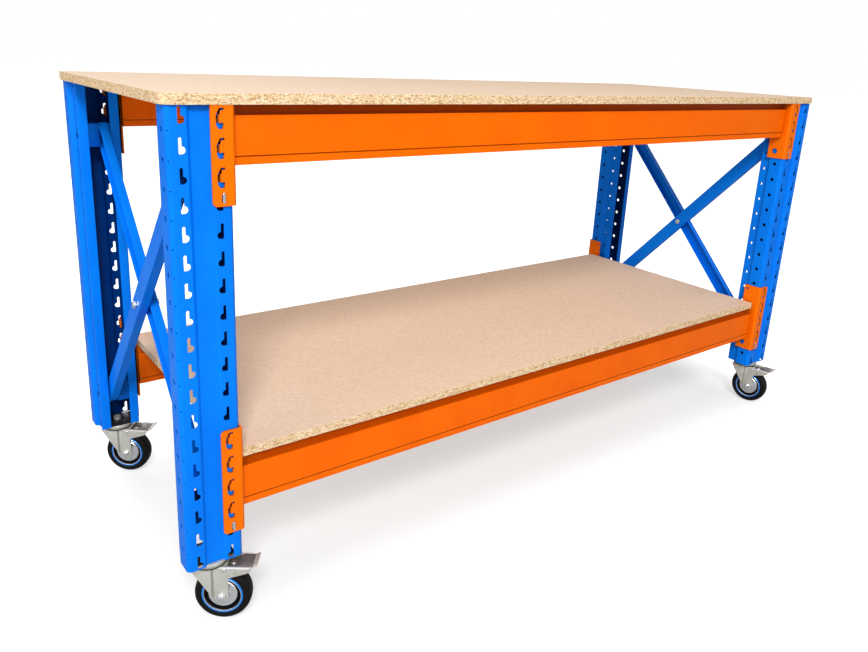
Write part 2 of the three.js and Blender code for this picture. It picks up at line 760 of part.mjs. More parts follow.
// Foot brackets sit in the open section and carry the casters.
function footBracketGeometry() {
  const side = REAR_FLANGE_X - UPRIGHT_THICKNESS - SEAT_GAP;
  const front = GROOVE_DEPTH + UPRIGHT_THICKNESS + FOOT_FRONT_CLEARANCE;
  const back = UPRIGHT_DEPTH - UPRIGHT_THICKNESS - SEAT_GAP;
  const bottom = CASTER_HEIGHT;
  const stemHole = ring([0, SWIVEL_DEPTH], STEM_RADIUS + BOLT_CLEARANCE, HOLE_SIDES);
  const floor = uprightPrism(
    box(-side, side, front, back),
    bottom,
    bottom + FOOT_PLATE,
    [stemHole],
  );
  const earFront = BOLT_DEPTH - 2 * FOOT_BOLT_RADIUS;
  const ear = box(earFront, back, bottom, bottom + FOOT_EAR_HEIGHT);
  const ears = [
    sidePrism(ear, -side, -side + FOOT_PLATE),
    sidePrism(ear, side - FOOT_PLATE, side),
  ];
  const bolt = boltAlongX(
    FOOT_BOLT_RADIUS,
    FOOT_BOLT_HEAD_RADIUS,
    FOOT_BOLT_HEAD,
    -REAR_FLANGE_X,
    REAR_FLANGE_X,
  ).translate([0, BOLT_DEPTH, bottom + FOOT_BOLT_HEIGHT]);
  return geometryOf(joined([solid(floor), ...ears.map(solid), bolt]));
}

const footBracket = footBracketGeometry();
for (const [name, sideX, sideY] of CORNERS) {
  placeAtCorner(addMesh(`foot_bracket_${name}`, footBracket, DARK_STEEL), sideX, sideY);
}

// Casters, each drawn round its swivel axis with the floor at zero and the pedal toward +X
const revolved = (profile, sides) =>
  new THREE.LatheGeometry(
    profile.map(([radius, height]) => new THREE.Vector2(radius, height)),
    sides,
    Math.PI / sides,
  );

function headGeometry() {
  const under = HEAD_TOP - HEAD_THICKNESS;
  const rivetTop = CROWN_TOP - CROWN_THICKNESS - SEAT_GAP;
  const nutBottom = CASTER_HEIGHT + FOOT_PLATE + SEAT_GAP;
  const profile = [
    [0, rivetTop - KINGPIN_RIVET_HEIGHT],
    [KINGPIN_RIVET_RADIUS, rivetTop - KINGPIN_RIVET_HEIGHT],
    [KINGPIN_RIVET_RADIUS, rivetTop],
    [KINGPIN_RADIUS, rivetTop],
    [KINGPIN_RADIUS, under],
    [HEAD_RADIUS - HEAD_TAPER, under],
    [HEAD_RADIUS, under + HEAD_TAPER],
    [HEAD_RADIUS, HEAD_TOP],
    [STEM_RADIUS, HEAD_TOP],
    [STEM_RADIUS, nutBottom],
    [STEM_NUT_RADIUS, nutBottom],
    [STEM_NUT_RADIUS, nutBottom + STEM_NUT_HEIGHT],
    [0, nutBottom + STEM_NUT_HEIGHT],
  ];
  return revolved(profile, HEAD_SIDES).rotateX(Math.PI / 2);
}

// Side plate of the fork: an eye round the axle under a wing that reaches out beside the pedal.
function forkSide() {
  const eye = [CASTER_TRAIL, WHEEL_RADIUS];
  return [
    [-CROWN_LENGTH_FRONT, CROWN_TOP],
    ...arc(eye, FORK_EYE_RADIUS, FORK_EYE_START, 2 * Math.PI, CORNER_STEPS),
    [CASTER_TRAIL + FORK_EYE_RADIUS, CROWN_TOP - WING_ROOT_DEPTH],
    [WING_REACH - WING_END_LENGTH, CROWN_TOP - WING_END_DEPTH],
    [WING_REACH, CROWN_TOP - WING_TIP_DEPTH],
    [WING_REACH, CROWN_TOP],
  ];
}

function forkGeometry() {
  const axleHole = ring([CASTER_TRAIL, WHEEL_RADIUS], AXLE_RADIUS + SEAT_GAP, BOLT_SIDES);
  const pinHole = ring([PEDAL_PIVOT_X, PEDAL_PIVOT_Z], PEDAL_PIN_RADIUS + PEDAL_PIN_PLAY, BOLT_SIDES);
  const outer = FORK_INNER + FORK_THICKNESS;
  const sides = [
    frontPrism(forkSide(), -outer, -FORK_INNER, [axleHole, pinHole]),
    frontPrism(forkSide(), FORK_INNER, outer, [axleHole, pinHole]),
  ];
  const kingpinHole = ring([0, 0], KINGPIN_RADIUS + SEAT_GAP, HEAD_SIDES);
  const crown = uprightPrism(
    box(-CROWN_LENGTH_FRONT, CROWN_LENGTH_BACK, -outer, outer),
    CROWN_TOP - CROWN_THICKNESS,
    CROWN_TOP,
    [kingpinHole],
  );
  return geometryOf(joined([...sides, crown].map(solid)));
}

function rimGeometry() {
  const half = TYRE_WIDTH / 2 - RIM_LIP / 2;
  const hub = TYRE_WIDTH / 2 + FORK_SIDE_GAP / 2;
  const bore = AXLE_RADIUS + SEAT_GAP;
  const oneSide = [
    [RIM_RADIUS, half],
    [RIM_FLOOR_RADIUS, half],
    [RIM_FLOOR_RADIUS - RIM_LIP, RIM_WEB_HALF],
    [HUB_RADIUS, RIM_WEB_HALF],
    [HUB_RADIUS, hub],
    [bore, hub],
  ];
  const otherSide = oneSide.map(([radius, height]) => [radius, -height]).reverse();
  return revolved([...otherSide, ...oneSide, otherSide[0]], WHEEL_SIDES);
}

function tyreGeometry() {
  const inside = RIM_RADIUS + SEAT_GAP;
  const half = TYRE_WIDTH / 2;
  // The flats of the tread, and not its corners, lie on the wheel's true circle.
  const tread = WHEEL_RADIUS / Math.cos(Math.PI / WHEEL_SIDES);
  const profile = [
    [inside, -half],
    [tread - TYRE_SHOULDER, -half],
    [tread, -half + TYRE_SHOULDER],
    [tread, half - TYRE_SHOULDER],
    [tread - TYRE_SHOULDER, half],
    [inside, half],
    [inside, -half],
  ];
  return revolved(profile, WHEEL_SIDES);
}

function axleGeometry() {
  const start = FORK_INNER + FORK_THICKNESS + SEAT_GAP;
  const end = start + AXLE_NUT_HEIGHT;
  const hexagon = ring([0, 0], AXLE_NUT_RADIUS, BOLT_SIDES);
  return geometryOf(
    joined(
      [
        frontPrism(ring([0, 0], AXLE_RADIUS, BOLT_SIDES), -end + CUT_OVERRUN, end - CUT_OVERRUN),
        frontPrism(hexagon, -end, -start),
        frontPrism(hexagon, start, end),
      ].map(solid),
    ),
  );
}

// The pedal is drawn round its pivot: a stepped plate with a turned-up tip, on a pin.
function pedalGeometry() {
  const half = FORK_INNER - PEDAL_SIDE_GAP;
  const low = -PEDAL_THICKNESS / 2;
  const high = low + PEDAL_STEP_RISE;
  const stepEnd = PEDAL_STEP_START + PEDAL_STEP_LENGTH;
  const path = [
    [-PEDAL_HEEL, low],
    [PEDAL_STEP_START, low],
    [stepEnd, high],
    [PEDAL_LENGTH, high],
    [PEDAL_LENGTH + PEDAL_TIP_LEAN, high + PEDAL_TIP_RISE],
  ];
  const plate = solid(frontPrism(sheetOutline(path, PEDAL_THICKNESS), -half, half));
  const flangeTop = high + PEDAL_THICKNESS / 2;
  const flange = box(stepEnd, PEDAL_LENGTH, high - PEDAL_FLANGE, flangeTop);
  const flanges = [
    frontPrism(flange, -half, -half + PEDAL_THICKNESS),
    frontPrism(flange, half - PEDAL_THICKNESS, half),
  ];
  const pinEnd = FORK_INNER + FORK_THICKNESS + CUT_OVERRUN;
  const pin = frontPrism(ring([0, 0], PEDAL_PIN_RADIUS, BOLT_SIDES), -pinEnd, pinEnd);
  return geometryOf(joined([plate, ...flanges.map(solid), solid(pin)]));
}

const casterShapes = {
  head: headGeometry(),
  fork: forkGeometry(),
  rim: rimGeometry(),
  tyre: tyreGeometry(),
  axle: axleGeometry(),
  pedal: pedalGeometry(),
};

for (const [name, sideX, sideY] of CORNERS) {
  const caster = new THREE.Group();
  caster.position.set(sideX * UPRIGHT_X, sideY * (FACE_Y - SWIVEL_DEPTH), 0);
  caster.rotation.z = THREE.MathUtils.degToRad(CASTER_HEADINGS[name]);
  bench.add(caster);
  addMesh(`caster_head_${name}`, casterShapes.head, ZINC, caster);
  addMesh(`caster_fork_${name}`, casterShapes.fork, ZINC, caster);
  const wheelPieces = [
    addMesh(`caster_rim_${name}`, casterShapes.rim, ZINC, caster),
    addMesh(`caster_tyre_${name}`, casterShapes.tyre, RUBBER, caster),
    addMesh(`caster_axle_${name}`, casterShapes.axle, ZINC, caster),
  ];
  for (const piece of wheelPieces) {
    piece.position.set(CASTER_TRAIL, 0, WHEEL_RADIUS);
  }
  const pedal = addMesh(`brake_pedal_${name}`, casterShapes.pedal, PEDAL_STEEL, caster);
  pedal.position.set(PEDAL_PIVOT_X, 0, PEDAL_PIVOT_Z);
}

// The origin is moved under the middle of everything, with the casters in their rest pose.
const middle = new THREE.Box3().setFromObject(bench, true).getCenter(new THREE.Vector3());
bench.position.set(-middle.x, -middle.y, 0);

export default bench;
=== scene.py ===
"""Looks of a mobile workbench made of pallet racking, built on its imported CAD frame."""

import json
import math

import bpy
from mathutils import Matrix, Vector


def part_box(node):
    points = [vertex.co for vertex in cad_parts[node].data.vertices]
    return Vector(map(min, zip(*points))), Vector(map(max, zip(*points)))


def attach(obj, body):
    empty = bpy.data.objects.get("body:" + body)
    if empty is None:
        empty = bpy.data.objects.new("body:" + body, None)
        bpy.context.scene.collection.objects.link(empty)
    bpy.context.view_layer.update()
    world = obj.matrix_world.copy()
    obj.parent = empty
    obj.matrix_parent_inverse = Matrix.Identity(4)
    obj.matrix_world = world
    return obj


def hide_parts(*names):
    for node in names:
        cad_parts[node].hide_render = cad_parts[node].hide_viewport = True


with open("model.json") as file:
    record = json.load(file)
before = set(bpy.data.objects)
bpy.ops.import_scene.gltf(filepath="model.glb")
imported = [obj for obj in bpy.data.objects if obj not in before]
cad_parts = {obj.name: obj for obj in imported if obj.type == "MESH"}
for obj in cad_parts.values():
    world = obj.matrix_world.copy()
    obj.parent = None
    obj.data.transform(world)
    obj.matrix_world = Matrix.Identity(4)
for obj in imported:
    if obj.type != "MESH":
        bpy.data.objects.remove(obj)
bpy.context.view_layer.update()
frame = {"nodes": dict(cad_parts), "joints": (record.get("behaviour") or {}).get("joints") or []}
nodes = frame["nodes"]

CORNERS = ("front_left", "front_right", "back_left", "back_right")
MILLIMETRE = 0.001
SEAM_WIDTH = 0.02 * MILLIMETRE
WELD_WIDTH = 0.01 * MILLIMETRE

# Sizes of the racking in millimetres, as in the solids
UPRIGHT_LENGTH = 882
UPRIGHT_HALF = 56
SHEET = 2
SIDE_FLANGE_DEPTH = 43
REAR_FLANGE_X = 46
REAR_FLANGE_START = 50
UPRIGHT_DEPTH = 78
LIP_WIDTH = 21
GROOVE_FLOOR_HALF = 15
GROOVE_WALL_HALF = 21
GROOVE_DEPTH = 7
CORNER_BEVEL = 6
BEND_RADIUS = 1.6
SLOT_PITCH = 50
SLOT_ROWS = 18
SLOT_START = 2
SLOT_COLUMN = 33.6
SLOT_ARM_HALF = 3
SLOT_HEIGHT = 28
SLOT_FOOT = 6.4
HOLE_RISE = 39
SIDE_HOLE_DEPTH = 25
SIDE_HOLE_RADIUS = 5.5
REAR_HOLE_RISE = 19
REAR_HOLE_DEPTH = 64
REAR_HOLE_RADIUS = 4.2
PILOT_RADIUS = 1.5
BRACKET_FRONT = 10
BRACKET_SHEET = 3
BRACKET_RISE = 0.2
BRACKET_BOLT_RISE = 15
STEM_DEPTH = 39
STEM_HOLE_RADIUS = 6.6
OVERRUN = 3
FIT = 0.1
CLEARANCE = 0.05
FLANGE_INSIDE = REAR_FLANGE_X - SHEET - FIT
HEAD_FACE = REAR_FLANGE_X + CLEARANCE
BRACE_FLANGE = 20
BRACE_GAP = 1
SPACER_WALL = 2
SPACER_HALF_HEIGHT = 27
SPACER_FRONT = 34
SPACER_BACK = 11.5

# Places on the beams in metres, for their finish
FRAME_MIDDLE = -0.0126
BEAM_HALF = 0.9065
BEAM_GROOVES = (0.2587, 0.935)
STEP_RISE = 0.0808
STEP_HALF = 0.0092
SOFT_EDGE = 0.001

# Sizes of a caster in millimetres, round its swivel axis with the floor at zero
WHEEL_RADIUS = 57.5
TRAIL = 28
FORK_INNER = 19
FORK_OUTER = 21.5
FORK_TOP = 127.9
CROWN_THICKNESS = 3
EYE_RADIUS = 14
NOTCH_RADIUS = 5
NOTCH_DROP = 31
FORK_FRONT = 32
WING_REACH = 90
LIP_REACH = 4
FLARE = 3
KINGPIN_HOLE_RADIUS = 7.3
AXLE_HOLE_RADIUS = 6.3
PIN_HOLE_RADIUS = 3.1
PUNCH_REACH = 10
PIVOT_X = 34
PIVOT_Z = 119.5
PEDAL_BOLT_X = 15
RIVET_UNDER = 121.9
HEAD_UNDER = 128.2
HEAD_TOP = 142.7
NUT_UNDER = 146.3
STEM_TOP = 154.3
NUT_START = 21.8

# Creases of a fork side: the place of each, and how far the sheet before it steps outward
CREASES = ((13, 0), (9, 3.9), (5, 1.1))

# Steps in a full turn
SPIN_STEPS = 64
RIM_STEPS = 72
TYRE_STEPS = 96
CAP_STEPS = 24


# Small helpers for modelling

def deselect():
    """Leaves edit mode, with nothing selected."""
    active = bpy.context.view_layer.objects.active
    if active is not None and active.mode != "OBJECT":
        bpy.ops.object.mode_set(mode="OBJECT")
    bpy.ops.object.select_all(action="DESELECT")


def pick(piece):
    """Makes one piece the only one selected."""
    deselect()
    piece.select_set(True)
    bpy.context.view_layer.objects.active = piece


def edit(piece):
    """Opens a piece in edit mode, selected all over."""
    pick(piece)
    bpy.ops.object.mode_set(mode="EDIT")
    bpy.ops.mesh.select_all(action="SELECT")


def done(piece):
    """Closes edit mode."""
    bpy.ops.object.mode_set(mode="OBJECT")
    return piece


def settle(piece):
    """Moves the place of a piece into its mesh."""
    pick(piece)
    bpy.ops.object.transform_apply(location=True, rotation=True, scale=True)
    return piece


def at(x, y, z):
    """A place or a way in millimetres, as Blender's metres."""
    return Vector((x, y, z)) * MILLIMETRE


def turn_faces_out():
    """Points the faces of the piece in edit mode outwards."""
    bpy.ops.mesh.select_all(action="SELECT")
    bpy.ops.mesh.normals_make_consistent(inside=False)


def extruded(piece, way):
    """A line or an outline drawn out along a way in millimetres."""
    edit(piece)
    bpy.ops.mesh.extrude_region_move(TRANSFORM_OT_translate={"value": at(*way)})
    turn_faces_out()
    return done(piece)


def line(name, points, face=False):
    """A line drawn point by point in millimetres, filled as one face if asked."""
    places = [at(*point) for point in points]
    deselect()
    bpy.ops.mesh.primitive_plane_add(size=MILLIMETRE, location=places[0])
    piece = bpy.context.object
    piece.name = name
    edit(piece)
    bpy.ops.mesh.merge(type="CENTER")
    for before, after in zip(places, places[1:]):
        bpy.ops.mesh.extrude_vertices_move(TRANSFORM_OT_translate={"value": after - before})
    if face:
        bpy.ops.mesh.select_all(action="SELECT")
        bpy.ops.mesh.edge_face_add()
    done(piece)
    return settle(piece)


def slab(name, points, way):
    """A filled outline extruded along a way in millimetres."""
    return extruded(line(name, points, face=True), way)


def turned(name, profile, axis, steps=SPIN_STEPS, closed=False):
    """A profile of radius and height, spun round an axis through the origin."""
    if closed:
        profile = [*profile, profile[0]]
    if axis == "Z":
        points = [(radius, 0, height) for radius, height in profile]
        direction = (0, 0, 1)
    else:
        points = [(radius, height, 0) for radius, height in profile]
        direction = (0, 1, 0)
    piece = line(name, points)
    edit(piece)
    bpy.ops.mesh.spin(steps=steps, angle=2 * math.pi, center=(0, 0, 0), axis=direction)
    bpy.ops.mesh.select_all(action="SELECT")
    bpy.ops.mesh.remove_doubles(threshold=SEAM_WIDTH)
    turn_faces_out()
    return done(piece)


def rod(name, radius, start, end, sides=24):
    """A round or many-sided rod between two points in millimetres."""
    a, b = at(*start), at(*end)
    deselect()
    bpy.ops.mesh.primitive_cylinder_add(
        vertices=sides,
        radius=radius * MILLIMETRE,
        depth=(b - a).length,
        location=(a + b) / 2,
        rotation=(b - a).to_track_quat("Z", "Y").to_euler(),
    )
    piece = bpy.context.object
    piece.name = name
    return settle(piece)


def applied(piece, kind, **settings):
    """A modifier with its settings, applied at once."""
    pick(piece)
    modifier = piece.modifiers.new(kind.title(), kind)
    for key, setting in settings.items():
        setattr(modifier, key, setting)
    bpy.ops.object.modifier_apply(modifier=modifier.name)
    return piece


def joined(name, pieces):
    """Several pieces as one mesh, under one name."""
    deselect()
    for piece in pieces:
        piece.select_set(True)
    bpy.context.view_layer.objects.active = pieces[0]
    bpy.ops.object.join()
    pieces[0].name = name
    return pieces[0]


def rows_of(piece, count, step):
    """Repeats a piece in a row, as one mesh."""
    return applied(
        piece,
        "ARRAY",
        count=count,
        use_relative_offset=False,
        use_constant_offset=True,
        constant_offset_displace=at(*step),
    )


def cut(piece, cutter):
    """Takes a cutter's shape out of a piece, and the cutter away."""
    applied(piece, "BOOLEAN", object=cutter, operation="DIFFERENCE", solver="EXACT")
    bpy.data.objects.remove(cutter)
    return piece


def softened(piece, width, segments=2, angle=30):
    """Small rounded edges and smooth shading over gentle angles."""
    applied(
        piece,
        "BEVEL",
        width=width * MILLIMETRE,
        segments=segments,
        limit_method="ANGLE",
        angle_limit=math.radians(angle),
    )
    return smooth(piece, angle)


def smooth(piece, angle):
    """Smooth shading over edges that bend less than an angle in degrees."""
    pick(piece)
    bpy.ops.object.shade_smooth_by_angle(angle=math.radians(angle))
    return piece


def moved(piece, move):
    """A finished piece put in place, with the place in its mesh."""
    piece.data.transform(move)
    piece.data.update()
    return piece


def copy_of(piece, name, move):
    """A copy with its own mesh, put in place."""
    twin = piece.copy()
    twin.data = piece.data.copy()
    twin.name = name
    bpy.context.scene.collection.objects.link(twin)
    return moved(twin, move)


def dressed(piece, finish, slot, body, *replaced):
    """Gives a piece its finish, unless it has one, and its body, and hides the solids it replaces.
    The slot is not used.
    """
    if finish is not None:
        piece.data.materials.clear()
        piece.data.materials.append(finish)
    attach(piece, body)
    if replaced:
        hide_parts(*replaced)
    return piece


def circle(centre, radius, start, end, steps):
    """Points on a circle in a flat drawing, from one angle to another in degrees."""
    points = []
    for step in range(steps + 1):
        angle = math.radians(start + (end - start) * step / steps)
        across = centre[0] + radius * math.cos(angle)
        points.append((across, centre[1] + radius * math.sin(angle)))
    return points


def bolt_head(foot, way, washer, hexagon):
    """A washer and a hexagon on it, each by radius, height, rounding and rounding steps."""
    parts = []
    for name, sides, (radius, height, width, segments) in (
        ("washer", 32, washer),
        ("hexagon", 6, hexagon),
    ):
        top = [start + height * share for start, share in zip(foot, way)]
        parts.append(softened(rod(name, radius, foot, top, sides), width, segments))
        foot = top
    return parts


# Shader maths

class Wire:
    """A value in a finish that can be added, multiplied and compared."""

    def __init__(self, finish, socket):
        self.finish = finish
        self.socket = socket

    def math(self, operation, *values):
        inputs = dict(enumerate(values))
        node = self.finish.node("Math", {"operation": operation}, inputs)
        return Wire(self.finish, node.outputs[0])

    def __add__(self, other):
        return self.math("ADD", self, other)

    def __radd__(self, other):
        return self.math("ADD", other, self)

    def __sub__(self, other):
        return self.math("SUBTRACT", self, other)

    def __rsub__(self, other):
        return self.math("SUBTRACT", other, self)

    def __mul__(self, other):
        return self.math("MULTIPLY", self, other)

    def __rmul__(self, other):
        return self.math("MULTIPLY", other, self)

    def __abs__(self):
        return self.math("ABSOLUTE", self)

    def step(self, low, high):
        """Zero below the low value, one above the high one, smooth between."""
        inputs = {"Value": self, "From Min": low, "From Max": high}
        settings = {"interpolation_type": "SMOOTHSTEP"}
        node = self.finish.node("MapRange", settings, inputs)
        return Wire(self.finish, node.outputs["Result"])


class Nodes:
    """The node tree of a material or of the world."""

    def __init__(self, block):
        block.use_nodes = True
        self.tree = block.node_tree
        self.tree.nodes.clear()

    def node(self, kind, settings=None, inputs=None):
        node = self.tree.nodes.new("ShaderNode" + kind)
        for key, setting in (settings or {}).items():
            if key == "stops":
                self.set_stops(node.color_ramp, setting)
            else:
                setattr(node, key, setting)
        for key, value in (inputs or {}).items():
            self.plug(node.inputs[key], value)
        return node

    def set_stops(self, ramp, stops):
        while len(ramp.elements) < len(stops):
            ramp.elements.new(1)
        for element, (position, colour) in zip(ramp.elements, stops):
            element.position = position
            element.color = colour

    def plug(self, socket, value):
        if isinstance(value, Wire):
            value = value.socket
        if isinstance(value, bpy.types.NodeSocket):
            self.tree.links.new(value, socket)
        else:
            socket.default_value = value


class Finish(Nodes):
    """A procedural material on object coordinates."""

    def __init__(self, name, **constants):
        self.material = bpy.data.materials.new(name)
        super().__init__(self.material)
        self.shader = self.node("BsdfPrincipled")
        for key, constant in constants.items():
            self.shader.inputs[key.replace("_", " ")].default_value = constant
        self.node("OutputMaterial", None, {"Surface": self.shader.outputs[0]})
        self.place = self.node("TexCoord").outputs["Object"]

    def stretched(self, scale):
        """Object coordinates squeezed along the axes."""
        inputs = {"Vector": self.place, "Scale": scale}
        return self.node("Mapping", None, inputs).outputs[0]

    def noise(self, size, detail=3, roughness=0.5, squeeze=(1, 1, 1), distortion=0):
        """Soft cloudy noise with a feature size in metres."""
        inputs = {
            "Vector": self.stretched(squeeze),
            "Scale": 1 / size,
            "Detail": detail,
            "Roughness": roughness,
            "Distortion": distortion,
        }
        return Wire(self, self.node("TexNoise", None, inputs).outputs[0])

    def chips(self, size, squeeze=(1, 1, 1)):
        """Cells of a given size, with a random grey each and the distance to the middle."""
        inputs = {"Vector": self.stretched(squeeze), "Scale": 1 / size}
        node = self.node("TexVoronoi", None, inputs)
        parts = self.node("SeparateColor", None, {"Color": node.outputs["Color"]})
        return Wire(self, parts.outputs[0]), Wire(self, node.outputs["Distance"])

    def mix(self, share, first, second):
        """The first colour, with a share of the second."""
        inputs = {0: share, 6: first, 7: second}
        return self.node("Mix", {"data_type": "RGBA"}, inputs).outputs[2]

    def ramp(self, value, stops):
        """A colour read off a ramp of places and colours."""
        return self.node("ValToRGB", {"stops": stops}, {0: value}).outputs[0]

    def rising(self):
        """One on a face that looks up, minus one on a face that looks down."""
        normal = self.node("NewGeometry").outputs["Normal"]
        parts = self.node("SeparateXYZ", None, {0: normal})
        return Wire(self, parts.outputs["Z"])

    def recess(self, reach):
        """One deep in a corner, zero on open faces, over a reach in metres: the mask of painted
        shade.
        """
        node = self.node("AmbientOcclusion", {"samples": 8}, {"Distance": reach})
        return 1 - Wire(self, node.outputs["AO"]).step(0.25, 0.85)

    def along(self, axis):
        """How far along an axis, in metres."""
        parts = self.node("SeparateXYZ", None, {0: self.place})
        return Wire(self, parts.outputs[axis])

    def bump(self, height, strength, distance):
        """Relief of the surface, over a distance in metres."""
        inputs = {"Height": height, "Strength": strength, "Distance": distance}
        self.plug(self.shader.inputs["Normal"], self.node("Bump", None, inputs).outputs[0])

    def set(self, **inputs):
        """Links or sets sockets of the shader by name."""
        for key, value in inputs.items():
            self.plug(self.shader.inputs[key.replace("_", " ")], value)


def rgb(red, green, blue):
    """A screen colour as linear light, for a colour socket."""

    def linear(value):
        value = value / 255
        return value / 12.92 if value <= 0.04045 else ((value + 0.055) / 1.055) ** 2.4

    return (linear(red), linear(green), linear(blue), 1.0)


# Painted shade on a beam, a dark line in its groove and a shadow band on the step above: rise over
# the groove, where it starts and stops to fade, share and colour
BEAM_PAINTED_SHADE = (
    (0, 0.0005, 0.0019, 0.8, rgb(112, 44, 0)),
    (STEP_RISE, STEP_HALF, STEP_HALF + SOFT_EDGE, 0.5, rgb(150, 54, 0)),
)
CONNECTOR_ORANGE = rgb(255, 124, 0)
UNDERSIDE_SHADE_ORANGE = rgb(196, 52, 0)
# Reach in metres and darkness of the painted shade in corners and recesses
CORNER_REACH = 0.03
CORNER_SHADE = 0.18


def powder_coat(name, colour, deep, dusty, grooves=()):
    """Gloss paint on rolled steel: orange peel, faint clouds, dust, scuffs, and painted shade in
    corners.

    Grooves are the heights of the beams' rolled grooves in metres. Shade is painted there as a
    dark line and on the step above as a shadow band, the connectors beyond the beams' ends took
    the colour lighter, and the undersides are painted deeper as shade.
    """
    finish = Finish(name, IOR=1.5, Specular_IOR_Level=0.08)
    clouds = finish.noise(0.16, 3)
    rolled = finish.noise(0.012, 2, 0.5, (1, 1, 0.04))
    dust = finish.noise(0.035, 5, 0.65).step(0.56, 0.8)
    scuffs = finish.noise(0.006, 6, 0.7, (1, 1, 0.25)).step(0.69, 0.75)
    tone = finish.mix(clouds.step(0.35, 0.7) * 0.5 + rolled * 0.2, colour, deep)
    tone = finish.mix(dust * 0.03 + scuffs * 0.1, tone, dusty)
    if grooves:
        beyond = abs(finish.along("X") - FRAME_MIDDLE).step(BEAM_HALF - SOFT_EDGE, BEAM_HALF)
        # Painted shade: a dark line along each groove and a shadow band on the step above it.
        for height in grooves:
            for rise, start, stop, share, painted_shade in BEAM_PAINTED_SHADE:
                off = abs(finish.along("Z") - (height + rise)).step(start, stop)
                tone = finish.mix((1 - off) * (1 - beyond) * share, tone, painted_shade)
        tone = finish.mix(beyond * 0.5, tone, CONNECTOR_ORANGE)
        # Painted shade: faces that look down turn a deeper orange.
        under = (0 - finish.rising()).step(0.6, 0.9)
        tone = finish.mix(under * 0.8, tone, UNDERSIDE_SHADE_ORANGE)
    # Painted shade: corners and recesses darkened from ambient occlusion.
    shade = (*(CORNER_SHADE * part for part in deep[:3]), 1)
    tone = finish.mix(finish.recess(CORNER_REACH) * 0.6, tone, shade)
    finish.set(Base_Color=tone, Roughness=0.34 + 0.1 * clouds + 0.16 * dust + 0.15 * scuffs)
    peel = finish.noise(0.0022, 2)
    finish.bump(peel + 2.0 * rolled - 0.6 * scuffs, 0.12, 0.0002)
    return finish.material


def pressed_chipboard():
    """Sanded fine chips on the faces, torn coarse chips and dark pits on the sawn edges."""
    finish = Finish("pressed_chipboard", IOR=1.4, Specular_IOR_Level=0.2)
    flat = abs(finish.rising()).step(0.6, 0.8)
    fibres = finish.noise(0.005, 6, 0.65, (0.45, 1, 1), 0.6)
    drift = finish.noise(0.3, 3)
    grain = finish.chips(0.0028, (0.5, 1, 1))[0]
    face = finish.ramp(
        fibres * 0.75 + grain * 0.25,
        [(0.22, rgb(222, 192, 162)), (0.5, rgb(240, 213, 186)), (0.78, rgb(250, 229, 205))],
    )
    face = finish.mix(drift.step(0.3, 0.75) * 0.3, face, rgb(237, 208, 178))
    flecks = finish.noise(0.003, 3, 0.6, (0.35, 1, 1)).step(0.69, 0.76)
    face = finish.mix(flecks * 0.3, face, rgb(184, 148, 112))
    chip, spread = finish.chips(0.0036, (0.55, 0.55, 1.5))
    small = finish.chips(0.0015, (0.8, 0.8, 1.2))[0]
    edge = finish.ramp(
        chip * 0.55 + small * 0.45,
        [
            (0.05, rgb(176, 130, 86)),
            (0.28, rgb(220, 181, 133)),
            (0.5, rgb(240, 207, 162)),
            (0.75, rgb(250, 224, 186)),
            (0.95, rgb(255, 240, 214)),
        ],
    )
    pits = finish.noise(0.0027, 3, 0.65, (0.6, 0.6, 1.3)).step(0.59, 0.64)
    edge = finish.mix(pits * 0.8, edge, rgb(74, 50, 32))
    arris = abs(finish.rising()).step(0.12, 0.3) * (1 - flat)
    edge = finish.mix(arris * 0.7, edge, rgb(252, 234, 206))
    finish.set(Base_Color=finish.mix(flat, edge, face), Roughness=0.74 + 0.16 * fibres)
    rough_edge = (1 - flat) * (0.5 * small - 1.2 * pits - 0.4 * spread)
    finish.bump(rough_edge + 0.14 * fibres + 0.05 * grain, 0.4, 0.0007)
    return finish.material


def plated_steel(name, light, dark, roughness, metallic):
    """Plated sheet with faint spangles, drawn lines and darker patches."""
    finish = Finish(name, IOR=1.5)
    patches = finish.noise(0.02, 4, 0.6)
    spangle = finish.chips(0.006)[0]
    drawn = finish.noise(0.0012, 2, 0.5, (1, 1, 0.06))
    worn = patches.step(0.5, 0.78)
    tone = finish.mix(worn * 0.5 + spangle * 0.12 + drawn * 0.12, light, dark)
    finish.set(Base_Color=tone, Metallic=metallic - 0.15 * worn)
    finish.set(Roughness=roughness + 0.14 * patches + 0.05 * spangle)
    finish.bump(drawn + 0.4 * patches, 0.12, 0.0002)
    return finish.material


def black_rubber():
    """Moulded rubber with a fine grain and a dusty bloom."""
    finish = Finish("black_rubber", IOR=1.5, Specular_IOR_Level=0.14)
    grain = finish.noise(0.0011, 3, 0.6)
    bloom = finish.noise(0.018, 4, 0.6).step(0.45, 0.8)
    tone = finish.mix(bloom * 0.25 + grain * 0.1, rgb(9, 8, 6), rgb(34, 30, 26))
    finish.set(Base_Color=tone, Roughness=0.46 + 0.25 * bloom + 0.1 * grain)
    finish.bump(grain, 0.25, 0.0003)
    return finish.material


BLUE = powder_coat("blue_powder_coat", rgb(0, 130, 252), rgb(0, 114, 238), rgb(60, 150, 240))
# Darker blue for the inner faces of the uprights: painted shade inside the section.
INSIDE = powder_coat("painted_shade_inside_coat", rgb(0, 62, 142), rgb(0, 46, 116), rgb(30, 84, 160))
# Darker blue for the brace spacers: painted shade where they sit inside the posts.
SHADED_SPACER_BLUE = powder_coat("shaded_spacer_powder_coat", rgb(0, 92, 190), rgb(0, 78, 168), rgb(40, 112, 196))
ORANGE = powder_coat(
    "orange_powder_coat",
    rgb(255, 112, 0),
    rgb(247, 98, 0),
    rgb(255, 160, 80),
    BEAM_GROOVES,
)
CHIPBOARD = pressed_chipboard()
ZINC = plated_steel("zinc_plate", rgb(214, 213, 203), rgb(168, 167, 158), 0.34, 0.6)
